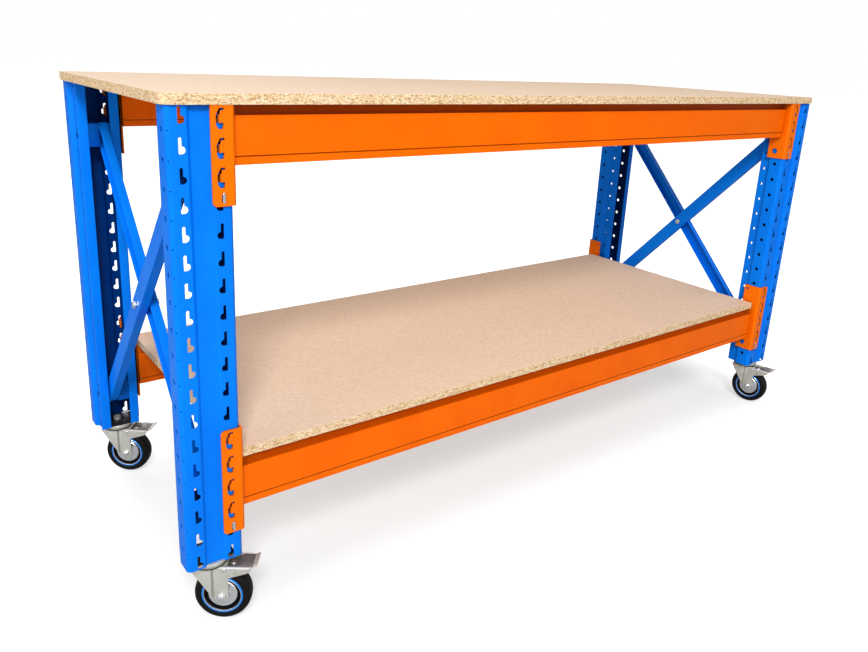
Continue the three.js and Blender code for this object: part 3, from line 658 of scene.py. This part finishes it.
# Darker, duller zinc on the slope before a fork's crease: painted shade.
CREASE_SHADE_ZINC = plated_steel("crease_shade_zinc_plate", rgb(160, 160, 150), rgb(128, 128, 120), 0.44, 0.5)
# Near-white zinc for the fork's rolled lip: painted highlight.
ROLLED_HIGHLIGHT_ZINC = plated_steel("rolled_zinc_edge_highlight", rgb(248, 248, 244), rgb(226, 226, 220), 0.3, 0.15)
BRIGHT = plated_steel("bright_steel", rgb(228, 229, 230), rgb(150, 154, 158), 0.18, 0.95)
BLUED = plated_steel("blued_zinc_plate", rgb(20, 146, 255), rgb(4, 112, 224), 0.26, 0.5)
BLACKED = plated_steel("blacked_steel", rgb(34, 34, 36), rgb(18, 18, 20), 0.3, 0.6)
DARK = plated_steel("foot_bracket_steel", rgb(44, 46, 50), rgb(24, 25, 28), 0.38, 0.4)
PEDAL = plated_steel("pedal_steel", rgb(132, 125, 121), rgb(88, 84, 83), 0.42, 0.6)
LIGHTER_TOE_STEEL = plated_steel("lighter_pedal_toe", rgb(214, 206, 192), rgb(160, 152, 140), 0.36, 0.5)
RUBBER = black_rubber()

FINISHES = {
    "upright": BLUE,
    "brace": BLUE,
    "beam": ORANGE,
    "worktop": CHIPBOARD,
    "lower_shelf": CHIPBOARD,
    "safety_clip": BRIGHT,
    "brace_fixing": BLUE,
    "brace_centre_bolt": BRIGHT,
    "foot_bracket": DARK,
    "caster_head": ZINC,
    "caster_fork": ZINC,
    "caster_rim": ZINC,
    "caster_axle": BRIGHT,
    "caster_tyre": RUBBER,
    "brake_pedal": PEDAL,
}
REPLACED_KINDS = ("upright", "foot", "brace_fixing", "caster", "brake")
EDGE_WIDTHS = {"beam": 0.9, "brace": 0.7}
EDGE_WIDTH = 0.5


def dress_solids():
    """Every solid gets a finish, and those that stay get small rounded edges."""
    for name, node in nodes.items():
        kind = max((key for key in FINISHES if name.startswith(key)), key=len)
        node.data.materials.clear()
        node.data.materials.append(FINISHES[kind])
        if kind.startswith(REPLACED_KINDS):
            continue
        weld = node.modifiers.new("Weld", "WELD")
        weld.merge_threshold = WELD_WIDTH
        bevel = node.modifiers.new("Edges", "BEVEL")
        bevel.width = EDGE_WIDTHS.get(kind, EDGE_WIDTH) * MILLIMETRE
        bevel.segments = 2
        bevel.limit_method = "ANGLE"
        bevel.angle_limit = math.radians(30)
        bevel.harden_normals = True


# Uprights

def slot_outline(side, bottom):
    """The L-shaped slot: a rounded arm over a half-round foot toward the middle."""
    outer = SLOT_COLUMN + SLOT_ARM_HALF
    inner = SLOT_COLUMN - SLOT_ARM_HALF
    points = [
        (outer - 1.2, 0),
        (outer, 1.2),
        (outer, SLOT_HEIGHT - 2),
        (outer - 2, SLOT_HEIGHT),
        (inner + 2, SLOT_HEIGHT),
        (inner, SLOT_HEIGHT - 2),
        (inner, 2 * SLOT_FOOT + 1),
        *circle((inner, SLOT_FOOT), SLOT_FOOT, 95, 255, 7),
        (inner, 0),
    ]
    return [(side * x, -OVERRUN, bottom + z) for x, z in points]


def hole_row(radius, start, end, sides):
    """A row of round punches at the slot pitch, one fewer than the slots."""
    punch = rod("punch", radius, start, end, sides)
    return rows_of(punch, SLOT_ROWS - 1, (0, 0, SLOT_PITCH))


def upright():
    """Roll-formed section from one sheet, punched with slots and holes in every face."""
    right = [
        (GROOVE_FLOOR_HALF, GROOVE_DEPTH),
        (GROOVE_WALL_HALF, 0),
        (UPRIGHT_HALF - CORNER_BEVEL, 0),
        (UPRIGHT_HALF, CORNER_BEVEL),
        (UPRIGHT_HALF, SIDE_FLANGE_DEPTH),
        (REAR_FLANGE_X, REAR_FLANGE_START),
        (REAR_FLANGE_X, UPRIGHT_DEPTH),
        (REAR_FLANGE_X - LIP_WIDTH, UPRIGHT_DEPTH),
    ]
    section = [(-x, y) for x, y in reversed(right)] + right
    piece = line("upright", [(x, y, 0) for x, y in section])
    ends = (at(*section[0], 0), at(*section[-1], 0))
    for vertex in piece.data.vertices:
        vertex.select = all((vertex.co - end).length > 0.0001 for end in ends)
    pick(piece)
    bpy.ops.object.mode_set(mode="EDIT")
    bpy.ops.mesh.bevel(affect="VERTICES", offset=BEND_RADIUS * MILLIMETRE, segments=3)
    extruded(piece, (0, 0, UPRIGHT_LENGTH))
    front = next(face for face in piece.data.polygons if abs(face.center.x) < MILLIMETRE)
    # The inner shell takes the darker inside coat, painted shade.
    for coat in (BLUE, INSIDE):
        piece.data.materials.append(coat)
    applied(
        piece,
        "SOLIDIFY",
        thickness=SHEET * MILLIMETRE,
        offset=-1 if front.normal.y < 0 else 1,
        use_even_offset=True,
        material_offset=1,
    )
    punches = []
    for side in (-1, 1):
        slot = slab("slot", slot_outline(side, SLOT_START), (0, 2 * OVERRUN + SHEET + 1, 0))
        punches.append(rows_of(slot, SLOT_ROWS, (0, 0, SLOT_PITCH)))
    reach = UPRIGHT_HALF + OVERRUN
    first = SLOT_START + HOLE_RISE
    rear_first = SLOT_START + SLOT_PITCH + REAR_HOLE_RISE
    for radius, depth, rise in (
        (SIDE_HOLE_RADIUS, SIDE_HOLE_DEPTH, first),
        (REAR_HOLE_RADIUS, REAR_HOLE_DEPTH, rear_first),
    ):
        punches.append(hole_row(radius, (-reach, depth, rise), (reach, depth, rise), 16))
    across = UPRIGHT_HALF - CORNER_BEVEL / 2
    depth = CORNER_BEVEL / 2
    for side in (-1, 1):
        start = (side * (across + OVERRUN), depth - OVERRUN, first)
        end = (side * (across - OVERRUN), depth + OVERRUN, first)
        punches.append(hole_row(PILOT_RADIUS, start, end, 8))
    cut(piece, joined("punches", punches))
    return smooth(piece, 25)


def foot_bracket():
    """Bent bracket in a post's foot: a plate on the caster's stem, two ears, low painted heads."""
    half = FLANGE_INSIDE
    front, back = BRACKET_FRONT, UPRIGHT_DEPTH - SHEET - 1
    plate = [(-half, front), (half, front), (half, back), (-half, back)]
    base = slab("plate", [(x, y, BRACKET_RISE) for x, y in plate], (0, 0, BRACKET_SHEET))
    hole_ends = [(0, STEM_DEPTH, -OVERRUN), (0, STEM_DEPTH, BRACKET_SHEET + OVERRUN)]
    cut(base, rod("stem_hole", STEM_HOLE_RADIUS, *hole_ends, 32))
    sheets = [softened(base, 0.4)]
    ear = [(56, BRACKET_RISE), (75, BRACKET_RISE), (75, 26), (71, 30), (60, 30), (56, 26)]
    for side in (-1, 1):
        points = [(side * half, y, z) for y, z in ear]
        flange = slab("ear", points, (-side * BRACKET_SHEET, 0, 0))
        sheets.append(softened(flange, 0.4))
    bolts = []
    for side in (-1, 1):
        foot = (side * HEAD_FACE, REAR_HOLE_DEPTH, BRACKET_BOLT_RISE)
        inner = (side * (half - 6), REAR_HOLE_DEPTH, BRACKET_BOLT_RISE)
        bolts.append(softened(rod("shank", 4, inner, foot), 0.3))
        bolts += bolt_head(foot, (side, 0, 0), (7, 0.7, 0.3, 2), (5.8, 1.8, 0.3, 2))
    for parts, coat in ((sheets, DARK), (bolts, BLUE)):
        for part in parts:
            part.data.materials.append(coat)
    return joined("foot_bracket", sheets + bolts)


def place_posts():
    """The four uprights, open sides inward, each with the bracket in its foot."""
    made = upright()
    bracket = foot_bracket()
    for corner in CORNERS:
        low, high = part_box(f"upright_{corner}")
        front = corner.startswith("front")
        face = low.y if front else high.y
        move = Matrix.Translation(((low.x + high.x) / 2, face, low.z))
        if not front:
            move = move @ Matrix.Rotation(math.pi, 4, "Z")
        piece = copy_of(made, f"punched_upright_{corner}", move)
        dressed(piece, None, "blue_paint", "bench", f"upright_{corner}")
        piece = copy_of(bracket, f"bent_bracket_{corner}", move)
        dressed(piece, None, "dark_steel", "bench", f"foot_bracket_{corner}")
    bpy.data.objects.remove(made)
    bpy.data.objects.remove(bracket)


# Brace ends

def spacer_tube(start, end):
    """A short upright tube between a brace end and a rear flange."""
    tubes = []
    for shrink in (0, SPACER_WALL):
        low, high = start + shrink, end - shrink
        front, back = -SPACER_FRONT + shrink, SPACER_BACK - shrink
        rise = SPACER_HALF_HEIGHT + shrink * OVERRUN
        outline = [(low, front), (high, front), (high, back), (low, back)]
        points = [(x, y, -rise) for x, y in outline]
        tubes.append(slab("spacer_tube", points, (0, 0, 2 * rise)))
    return softened(cut(*tubes), 0.5)


def brace_end(side):
    """Both spacers of a brace end on their bolt, with low painted heads on the flanges."""
    reach = BRACE_FLANGE + BRACE_GAP + FIT
    parts = []
    for start, end in ((-FLANGE_INSIDE, BRACE_GAP - FIT), (reach, FLANGE_INSIDE)):
        low, high = sorted((side * start, side * end))
        parts.append(spacer_tube(low, high))
    parts.append(rod("bolt", 4.8, (-REAR_FLANGE_X, 0, 0), (REAR_FLANGE_X, 0, 0)))
    for way in (-1, 1):
        foot = (way * HEAD_FACE, 0, 0)
        parts += bolt_head(foot, (way, 0, 0), (6.8, 0.7, 0.2, 2), (5.6, 1.8, 0.5, 3))
    return joined("brace_end", parts)


def place_brace_ends():
    """The inner brace ends at the back top and the front foot, the outer one opposite."""
    made = {side: brace_end(side) for side in (-1, 1)}
    for corner in CORNERS:
        front = corner.startswith("front")
        post_low, post_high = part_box(f"upright_{corner}")
        turn = Matrix.Rotation(0 if front else math.pi, 4, "Z")
        for level in ("top", "bottom"):
            node = f"brace_fixing_{corner}_{level}"
            low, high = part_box(node)
            middle = (Vector(low) + Vector(high)) / 2
            middle.x = (post_low.x + post_high.x) / 2
            inner = front == (level == "bottom")
            side = 1 if inner == front else -1
            move = Matrix.Translation(middle) @ turn
            piece = copy_of(made[side], f"brace_spacers_{corner}_{level}", move)
            # The whole brace end takes the darker blue, painted shade.
            dressed(piece, SHADED_SPACER_BLUE, "blue_paint", "bench", node)
    for piece in made.values():
        bpy.data.objects.remove(piece)


# Casters

def caster_race():
    """Swivel head: top cup, ball gap, lower cup, kingpin with its rivet, stem and nut."""
    profile = [
        (0, RIVET_UNDER),
        (8, RIVET_UNDER),
        (10.6, RIVET_UNDER + 0.9),
        (11, RIVET_UNDER + 2.7),
        (7, RIVET_UNDER + 2.7),
        (7, HEAD_UNDER),
        (30, HEAD_UNDER),
        (33, HEAD_UNDER + 0.8),
        (35.4, HEAD_UNDER + 2.6),
        (35.8, HEAD_UNDER + 4.2),
        (33.2, HEAD_UNDER + 4.6),
        (33.2, HEAD_UNDER + 5.8),
        (36.6, HEAD_UNDER + 6.2),
        (37.8, HEAD_UNDER + 7.4),
        (38, HEAD_TOP - 2),
        (37.2, HEAD_TOP - 0.5),
        (35.6, HEAD_TOP),
        (6, HEAD_TOP),
        (6, NUT_UNDER),
        (9, NUT_UNDER),
        (9, STEM_TOP),
        (5, STEM_TOP),
        (0, STEM_TOP),
    ]
    return smooth(turned("caster_race", profile, "Z"), 35)


def swivel_seal():
    """Black seal of the swivel balls, between the head's cup and the fork's crown."""
    under = HEAD_UNDER - FIT
    profile = [
        (30, under),
        (35, under),
        (36.2, under + 1.2),
        (36.2, under + 2.6),
        (35.4, under + 3.3),
        (32, under + 1.5),
    ]
    return smooth(turned("swivel_seal", profile, "Z", closed=True), 50)


def fork_side_outline():
    """A fork side seen from beside it: round the axle's eye, up the notch and out to the wing."""
    eye = (TRAIL, WHEEL_RADIUS)
    notch = (TRAIL + EYE_RADIUS + NOTCH_RADIUS, FORK_TOP - NOTCH_DROP)
    return [
        (-FORK_FRONT, FORK_TOP),
        (-FORK_FRONT, FORK_TOP - CROWN_THICKNESS),
        *circle(eye, EYE_RADIUS, 212, 360, 12),
        *circle(notch, NOTCH_RADIUS, 180, 118, 4),
        (60, FORK_TOP - 21.2),
        (80, FORK_TOP - 14.4),
        (84, FORK_TOP - 11),
        (88.6, FORK_TOP - 4.2),
        (WING_REACH, FORK_TOP - 1.6),
        (WING_REACH - 0.8, FORK_TOP),
    ]


def fork_side(side):
    """One pressed side: bulged before its crease, whose slope is painted darker as shade, and
    flared back.
    """
    outline = fork_side_outline()
    inner = side * FORK_INNER
    points = [(x, inner, z) for x, z in outline]
    piece = slab("fork_side", points, (0, side * (FORK_OUTER - FORK_INNER), 0))
    for place, step in CREASES:
        edit(piece)
        bpy.ops.mesh.bisect(plane_co=at(place, 0, 0), plane_no=(1, 0, 0), use_fill=False)
        bpy.ops.mesh.select_all(action="DESELECT")
        done(piece)
        for vertex in piece.data.vertices:
            vertex.select = vertex.co.x < (place + 0.01) * MILLIMETRE
        bpy.ops.object.mode_set(mode="EDIT")
        bpy.ops.transform.translate(value=at(0, side * step, 0))
    rise = sum(step for place, step in CREASES)
    bpy.ops.transform.rotate(
        value=side * math.radians(FLARE),
        orient_axis="Z",
        orient_type="GLOBAL",
        center_override=at(CREASES[-1][0], inner + side * rise, 0),
    )
    done(piece)
    # Painted shade: the slope before the crease takes the darker, duller zinc.
    for finish in (ZINC, CREASE_SHADE_ZINC):
        piece.data.materials.append(finish)
    for face in piece.data.polygons:
        slope = CREASES[1][0] < face.center.x / MILLIMETRE < CREASES[0][0]
        face.material_index = 1 if slope else 0
    return piece


def fork_lip(side):
    """The top edge of a fork side, rolled outward, in near-white zinc as a painted highlight."""
    inner = FORK_OUTER - 0.3
    outer = FORK_OUTER + LIP_REACH
    plan = [(20, inner), (24, outer), (82, outer), (88, inner)]
    points = [(x, side * y, FORK_TOP - 1.9) for x, y in plan]
    lip = slab("fork_lip", points, (0, 0, 2))
    # Painted highlight: the lip takes the near-white zinc.
    lip.data.materials.append(ROLLED_HIGHLIGHT_ZINC)
    return softened(lip, 0.6)


def caster_fork():
    """Pressed fork: two sides with a crease, a flared back and a rolled lip, under a crown."""
    sides = [fork_side(-1), fork_side(1)]
    lips = [fork_lip(-1), fork_lip(1)]
    level = FORK_OUTER - 0.4
    half = [(40, level)]
    for place, step in CREASES:
        level += step
        half.insert(0, (place, level))
    front = FORK_FRONT - 0.5
    length = CREASES[-1][0] + front
    half.insert(0, (-front, level + length * math.tan(math.radians(FLARE))))
    outline = [(x, -y) for x, y in half] + half[::-1]
    crown_points = [(x, y, FORK_TOP - CROWN_THICKNESS) for x, y in outline]
    crown = slab("crown", crown_points, (0, 0, CROWN_THICKNESS))
    crown.data.materials.append(ZINC)
    softened(crown, 0.5, 2, 40)
    hole_ends = [(0, 0, FORK_TOP + way * PUNCH_REACH) for way in (-1, 1)]
    cut(crown, rod("kingpin_hole", KINGPIN_HOLE_RADIUS, *hole_ends, 32))
    reach = FORK_OUTER + PUNCH_REACH
    for side in sides:
        smooth(softened(side, 0.5, 2, 40), 32)
        for radius, x, z in (
            (AXLE_HOLE_RADIUS, TRAIL, WHEEL_RADIUS),
            (PIN_HOLE_RADIUS, PIVOT_X, PIVOT_Z),
        ):
            cut(side, rod("side_hole", radius, (x, -reach, z), (x, reach, z)))
    return joined("caster_fork", [*sides, *lips, crown])


def wheel_rim():
    """Pressed rim halves: a rolled lip, a dark trough, a raised disc and a bearing hub."""
    half = [
        (38.8, 12),
        (38.8, 16.4),
        (38.3, 16.8),
        (37.4, 16.5),
        (36.9, 15),
        (36.5, 9),
        (35.6, 5),
        (33.4, 3.6),
        (31, 4.4),
        (30.2, 8),
        (29.8, 11.8),
        (28.4, 13),
        (16, 13.2),
        (14.6, 14),
        (13.6, 17.6),
        (12.6, 18),
        (6.4, 18),
    ]
    profile = [(radius, -height) for radius, height in reversed(half)] + half
    return smooth(turned("wheel_rim", profile, "Y", RIM_STEPS, closed=True), 35)


def wheel_rings(name, section):
    """A section of radius and height spun into a ring, one on each side of the wheel."""
    rings = []
    for side in (-1, 1):
        profile = [(radius, side * height) for radius, height in section]
        rings.append(turned(name, profile, "Y", RIM_STEPS, closed=True))
    return smooth(joined(name, rings), 50)


def rim_trough_shade():
    """A thin black sheet in the trough between the rim's lip and its raised disc: painted shade.
    """
    depth = [(36.7, 14.4), (36.3, 9.1), (35.4, 5.3), (33.4, 4), (31.3, 4.7), (30.5, 8.1)]
    lowest = min(depth, key=lambda point: point[1])[0]
    outer = [(radius + 0.05, height - 0.05) for radius, height in depth]
    inner = []
    for radius, height in depth:
        inner.append((radius - 0.25 if radius > lowest else radius, height + 0.3))
    return wheel_rings("rim_trough_shade", outer + inner[::-1])


def rim_ring():
    """The blued outer roll of the rim, between the tyre and the bright lip."""
    section = [(38.9, 12), (41.8, 12), (41.8, 15.6), (41.3, 16.8), (40, 17.3), (38.9, 16.9)]
    return wheel_rings("rim_ring", section)


def wheel_tyre():
    """Solid tyre: rounded tread, moulded rings on its sides."""
    half = [
        (41.3, 14.6),
        (42.6, 16.2),
        (44.6, 16.9),
        (46.2, 17),
        (46.8, 16.5),
        (47.6, 16.5),
        (48.2, 17),
        (51, 16.7),
        (53.6, 15.4),
        (55.6, 12.8),
        (56.8, 9),
        (57.35, 4.5),
    ]
    profile = [(radius, -height) for radius, height in half]
    profile += [(WHEEL_RADIUS, 0), *reversed(half)]
    return smooth(turned("wheel_tyre", profile, "Y", TYRE_STEPS, closed=True), 45)


def domed(name, profile, side, start):
    """A round dome on one side of the wheel, from a start in millimetres."""
    points = [(radius, side * (start + height)) for radius, height in profile]
    return smooth(turned(name, points, "Y", CAP_STEPS), 60)


def axle_bolt():
    """Axle with a domed hexagon on each end, and the rivets that carry the pedal."""
    parts = [rod("shank", 6, (0, -NUT_START, 0), (0, NUT_START, 0))]
    rise = Matrix.Translation(at(PIVOT_X - TRAIL, 0, PIVOT_Z - WHEEL_RADIUS))
    for side in (-1, 1):
        foot = (0, side * NUT_START, 0)
        parts += bolt_head(foot, (0, side, 0), (9.6, 1.2, 0.3, 2), (8.6, 4, 0.7, 3))
        parts.append(domed("cap", [(0, 7), (2.6, 6.8), (4.6, 6.1), (6, 5)], side, NUT_START))
        rivet = [(4.4, 0), (4.2, 0.9), (3, 1.8), (0, 2.2)]
        parts.append(moved(domed("rivet", rivet, side, FORK_OUTER + CLEARANCE), rise))
    return joined("axle_bolt", parts)


def brake_pedal():
    """Stepped pedal round its pivot: a pressed panel with ribs, flanges and a wider, lighter toe.
    """
    half = 18.4
    sheet = 2.5
    low = -1.25
    high = 8.75
    tread = [
        (-10, low),
        (22, low),
        (24, low + 1),
        (31.5, high - 1),
        (34, high),
        (57.5, high),
    ]
    plate = line("pedal_plate", [(x, -half, z) for x, z in tread])
    extruded(plate, (0, 2 * half, 0))
    up = plate.data.polygons[0].normal.z > 0
    thickness = sheet * MILLIMETRE
    applied(plate, "SOLIDIFY", thickness=thickness, offset=1 if up else -1, use_even_offset=True)
    parts = [softened(plate, 0.5, 2, 40)]
    outline = [(33, 4.75), (55, 4.75), (56.5, 7), (56.5, 10), (33, 10), (30, 7)]
    for side in (-1, 1):
        points = [(x, side * half, z) for x, z in outline]
        parts.append(softened(slab("flange", points, (0, -side * sheet, 0)), 0.4))
    top = high + sheet
    panel = [(37, -14), (54, -14), (54, 14), (37, 14)]
    raised = slab("panel", [(x, y, top - 0.5) for x, y in panel], (0, 0, 1.2))
    parts.append(softened(raised, 0.6, 3))
    for middle in (-8, 0, 8):
        near, far = middle - 1.6, middle + 1.6
        rib = [(40, near), (51, near), (51, far), (40, far)]
        strip = slab("rib", [(x, y, top + 0.5) for x, y in rib], (0, 0, 0.9))
        parts.append(softened(strip, 0.4))
    reach = FORK_OUTER - FIT
    parts.append(rod("pivot_pin", 2.5, (0, -reach, 0), (0, reach, 0)))
    for part in parts:
        part.data.materials.append(PEDAL)
    wide = half + 1.2
    tip = [(56.8, high - 2), (65.8, high + 2.6), (65, high + 6), (56.8, high + 2.7)]
    toe = slab("toe", [(x, -wide, z) for x, z in tip], (0, 2 * wide, 0))
    # The toe takes a lighter steel than the rest of the pedal.
    toe.data.materials.append(LIGHTER_TOE_STEEL)
    parts.append(softened(toe, 0.6))
    return joined("brake_pedal", parts)


def pedal_bolt():
    """Bright domed bolt that holds the brake spring under the pedal."""
    profile = [(6, 1.2), (6, 2), (5, 2.2), (4.7, 3.6), (3.2, 4.8), (0, 5.2)]
    bolt = turned("pedal_bolt", profile, "Z", 32)
    return smooth(moved(bolt, Matrix.Translation(at(PEDAL_BOLT_X, 0, 0))), 50)


def place_casters():
    """The four casters, each turned to the heading of its solids."""
    race = caster_race()
    fork = caster_fork()
    rim = wheel_rim()
    tyre = wheel_tyre()
    axle = axle_bolt()
    pedal = brake_pedal()
    ring = rim_ring()
    # The trough's black sheet is painted shade.
    trough = rim_trough_shade()
    bolt = pedal_bolt()
    seal = swivel_seal()
    joints = {joint["name"]: joint for joint in frame["joints"]}
    for corner in CORNERS:
        swivel = joints[f"swivel_{corner}"]["pos_m"]
        axis = joints[f"wheel_spin_{corner}"]["axis"]
        turn = Matrix.Rotation(math.atan2(-axis[0], axis[1]), 4, "Z")
        stand = Matrix.Translation((swivel[0], swivel[1], 0)) @ turn
        wheel = stand @ Matrix.Translation(at(TRAIL, 0, WHEEL_RADIUS))
        pivot = stand @ Matrix.Translation(at(PIVOT_X, 0, PIVOT_Z))
        plan = [
            (race, "swivel_race", stand, ZINC, "zinc", "bench", "caster_head"),
            (fork, "pressed_fork", stand, None, "zinc", f"caster_{corner}", "caster_fork"),
            (rim, "pressed_rim", wheel, BRIGHT, "zinc", f"wheel_{corner}", "caster_rim"),
            (tyre, "rubber_tyre", wheel, RUBBER, "rubber", f"wheel_{corner}", "caster_tyre"),
            (axle, "axle_bolt", wheel, BRIGHT, "zinc", f"caster_{corner}", "caster_axle"),
            (pedal, "pedal", pivot, None, "pedal_steel", f"pedal_{corner}", "brake_pedal"),
            (ring, "rim_ring", wheel, BLUED, "zinc", f"wheel_{corner}", None),
            (trough, "rim_trough_shade", wheel, BLACKED, "dark_steel", f"wheel_{corner}", None),
            (bolt, "pedal_bolt", pivot, BRIGHT, "zinc", f"pedal_{corner}", None),
            (seal, "swivel_seal", stand, BLACKED, "dark_steel", "bench", None),
        ]
        for made, name, move, finish, slot, body, node in plan:
            piece = copy_of(made, f"{name}_{corner}", move)
            dressed(piece, finish, slot, body, *([f"{node}_{corner}"] if node else []))
    for made in (race, fork, rim, tyre, axle, pedal, ring, trough, bolt, seal):
        bpy.data.objects.remove(made)


# Studio

LAMP_TARGET = (0, 0, 0.5)
LAMPS = (
    ("key", (-2.7, -3.9, 4.2), 235, 1.4),
    ("front", (-1.0, -5.6, 2.5), 68, 4.0),
    ("left", (-5.6, -0.6, 2.5), 92, 4.0),
    ("above", (0.3, 0.2, 5.0), 22, 3.0),
    ("right", (5.5, 1.0, 2.5), 40, 3.0),
    ("back", (0.5, 5.6, 2.6), 100, 3.0),
)
SHADOW_HALF_LENGTH = 0.95
SHADOW_HALF_DEPTH = 0.28


def add_camera():
    """The photograph's viewpoint, found by fitting the slots and beams."""
    deselect()
    bpy.ops.object.camera_add(location=(-1.4245, -1.5658, 1.1224))
    camera = bpy.context.object
    heading, tip, roll = 0.6523, 0.278, -0.0476
    look = Matrix.Rotation(-heading, 4, "Z") @ Matrix.Rotation(math.pi / 2 - tip, 4, "X")
    camera.rotation_euler = (look @ Matrix.Rotation(-roll, 4, "Z")).to_euler()
    camera.data.lens = 30.97
    camera.data.sensor_width = 36
    camera.data.shift_x = 0.0053
    camera.data.shift_y = -0.0679
    camera.data.clip_start = 0.05
    camera.data.clip_end = 200
    bpy.context.scene.camera = camera


def add_lamp(name, place, power, size):
    """A square lamp aimed at the middle of the bench."""
    deselect()
    bpy.ops.object.light_add(type="AREA", location=place)
    lamp = bpy.context.object
    lamp.name = name
    lamp.data.energy = power
    lamp.data.size = size
    way = Vector(LAMP_TARGET) - Vector(place)
    lamp.rotation_euler = way.to_track_quat("-Z", "Y").to_euler()


def add_floor():
    """A pale floor that reads white to the camera, away from the shadow of the bench."""
    deselect()
    bpy.ops.mesh.primitive_plane_add(size=80, location=(0, 0, -0.0004))
    floor = settle(bpy.context.object)
    floor.name = "floor"
    finish = Finish("pale_floor", Roughness=0.9)
    beside = abs(finish.along("X")) - SHADOW_HALF_LENGTH
    before = abs(finish.along("Y")) - SHADOW_HALF_DEPTH
    far = beside.math("MAXIMUM", beside, before).step(-0.06, 0.34)
    speckle = finish.noise(0.4, 4)
    shade = finish.mix(speckle * 0.3, (0.535, 0.55, 0.555, 1), (0.505, 0.52, 0.525, 1))
    finish.set(Base_Color=shade)
    seen = Wire(finish, finish.node("LightPath").outputs["Is Camera Ray"])
    glow = finish.mix(seen * (0.46 + 0.54 * far), (0, 0, 0, 1), (1, 1, 1, 1))
    finish.set(Emission_Color=glow)
    finish.shader.inputs["Emission Strength"].default_value = 1
    floor.data.materials.append(finish.material)


def add_world():
    """A soft pale room, white to the camera and a little darker in reflections."""
    world = bpy.data.worlds.new("studio")
    room = Nodes(world)
    white = (1, 1, 1, 1)
    dim = room.node("Background", None, {"Color": white, "Strength": 0.18})
    bright = room.node("Background", None, {"Color": white, "Strength": 1.0})
    mirrored = room.node("Background", None, {"Color": white, "Strength": 0.75})
    path = room.node("LightPath")
    glossy = {0: path.outputs["Is Glossy Ray"], 1: dim.outputs[0], 2: mirrored.outputs[0]}
    indoors = room.node("MixShader", None, glossy).outputs[0]
    camera = {0: path.outputs["Is Camera Ray"], 1: indoors, 2: bright.outputs[0]}
    mixed = room.node("MixShader", None, camera)
    room.node("OutputWorld", None, {"Surface": mixed.outputs[0]})
    bpy.context.scene.world = world


dress_solids()
place_posts()
place_brace_ends()
place_casters()
add_camera()
for lamp in LAMPS:
    add_lamp(*lamp)
add_floor()
add_world()
bpy.context.scene.view_settings.view_transform = "Standard"
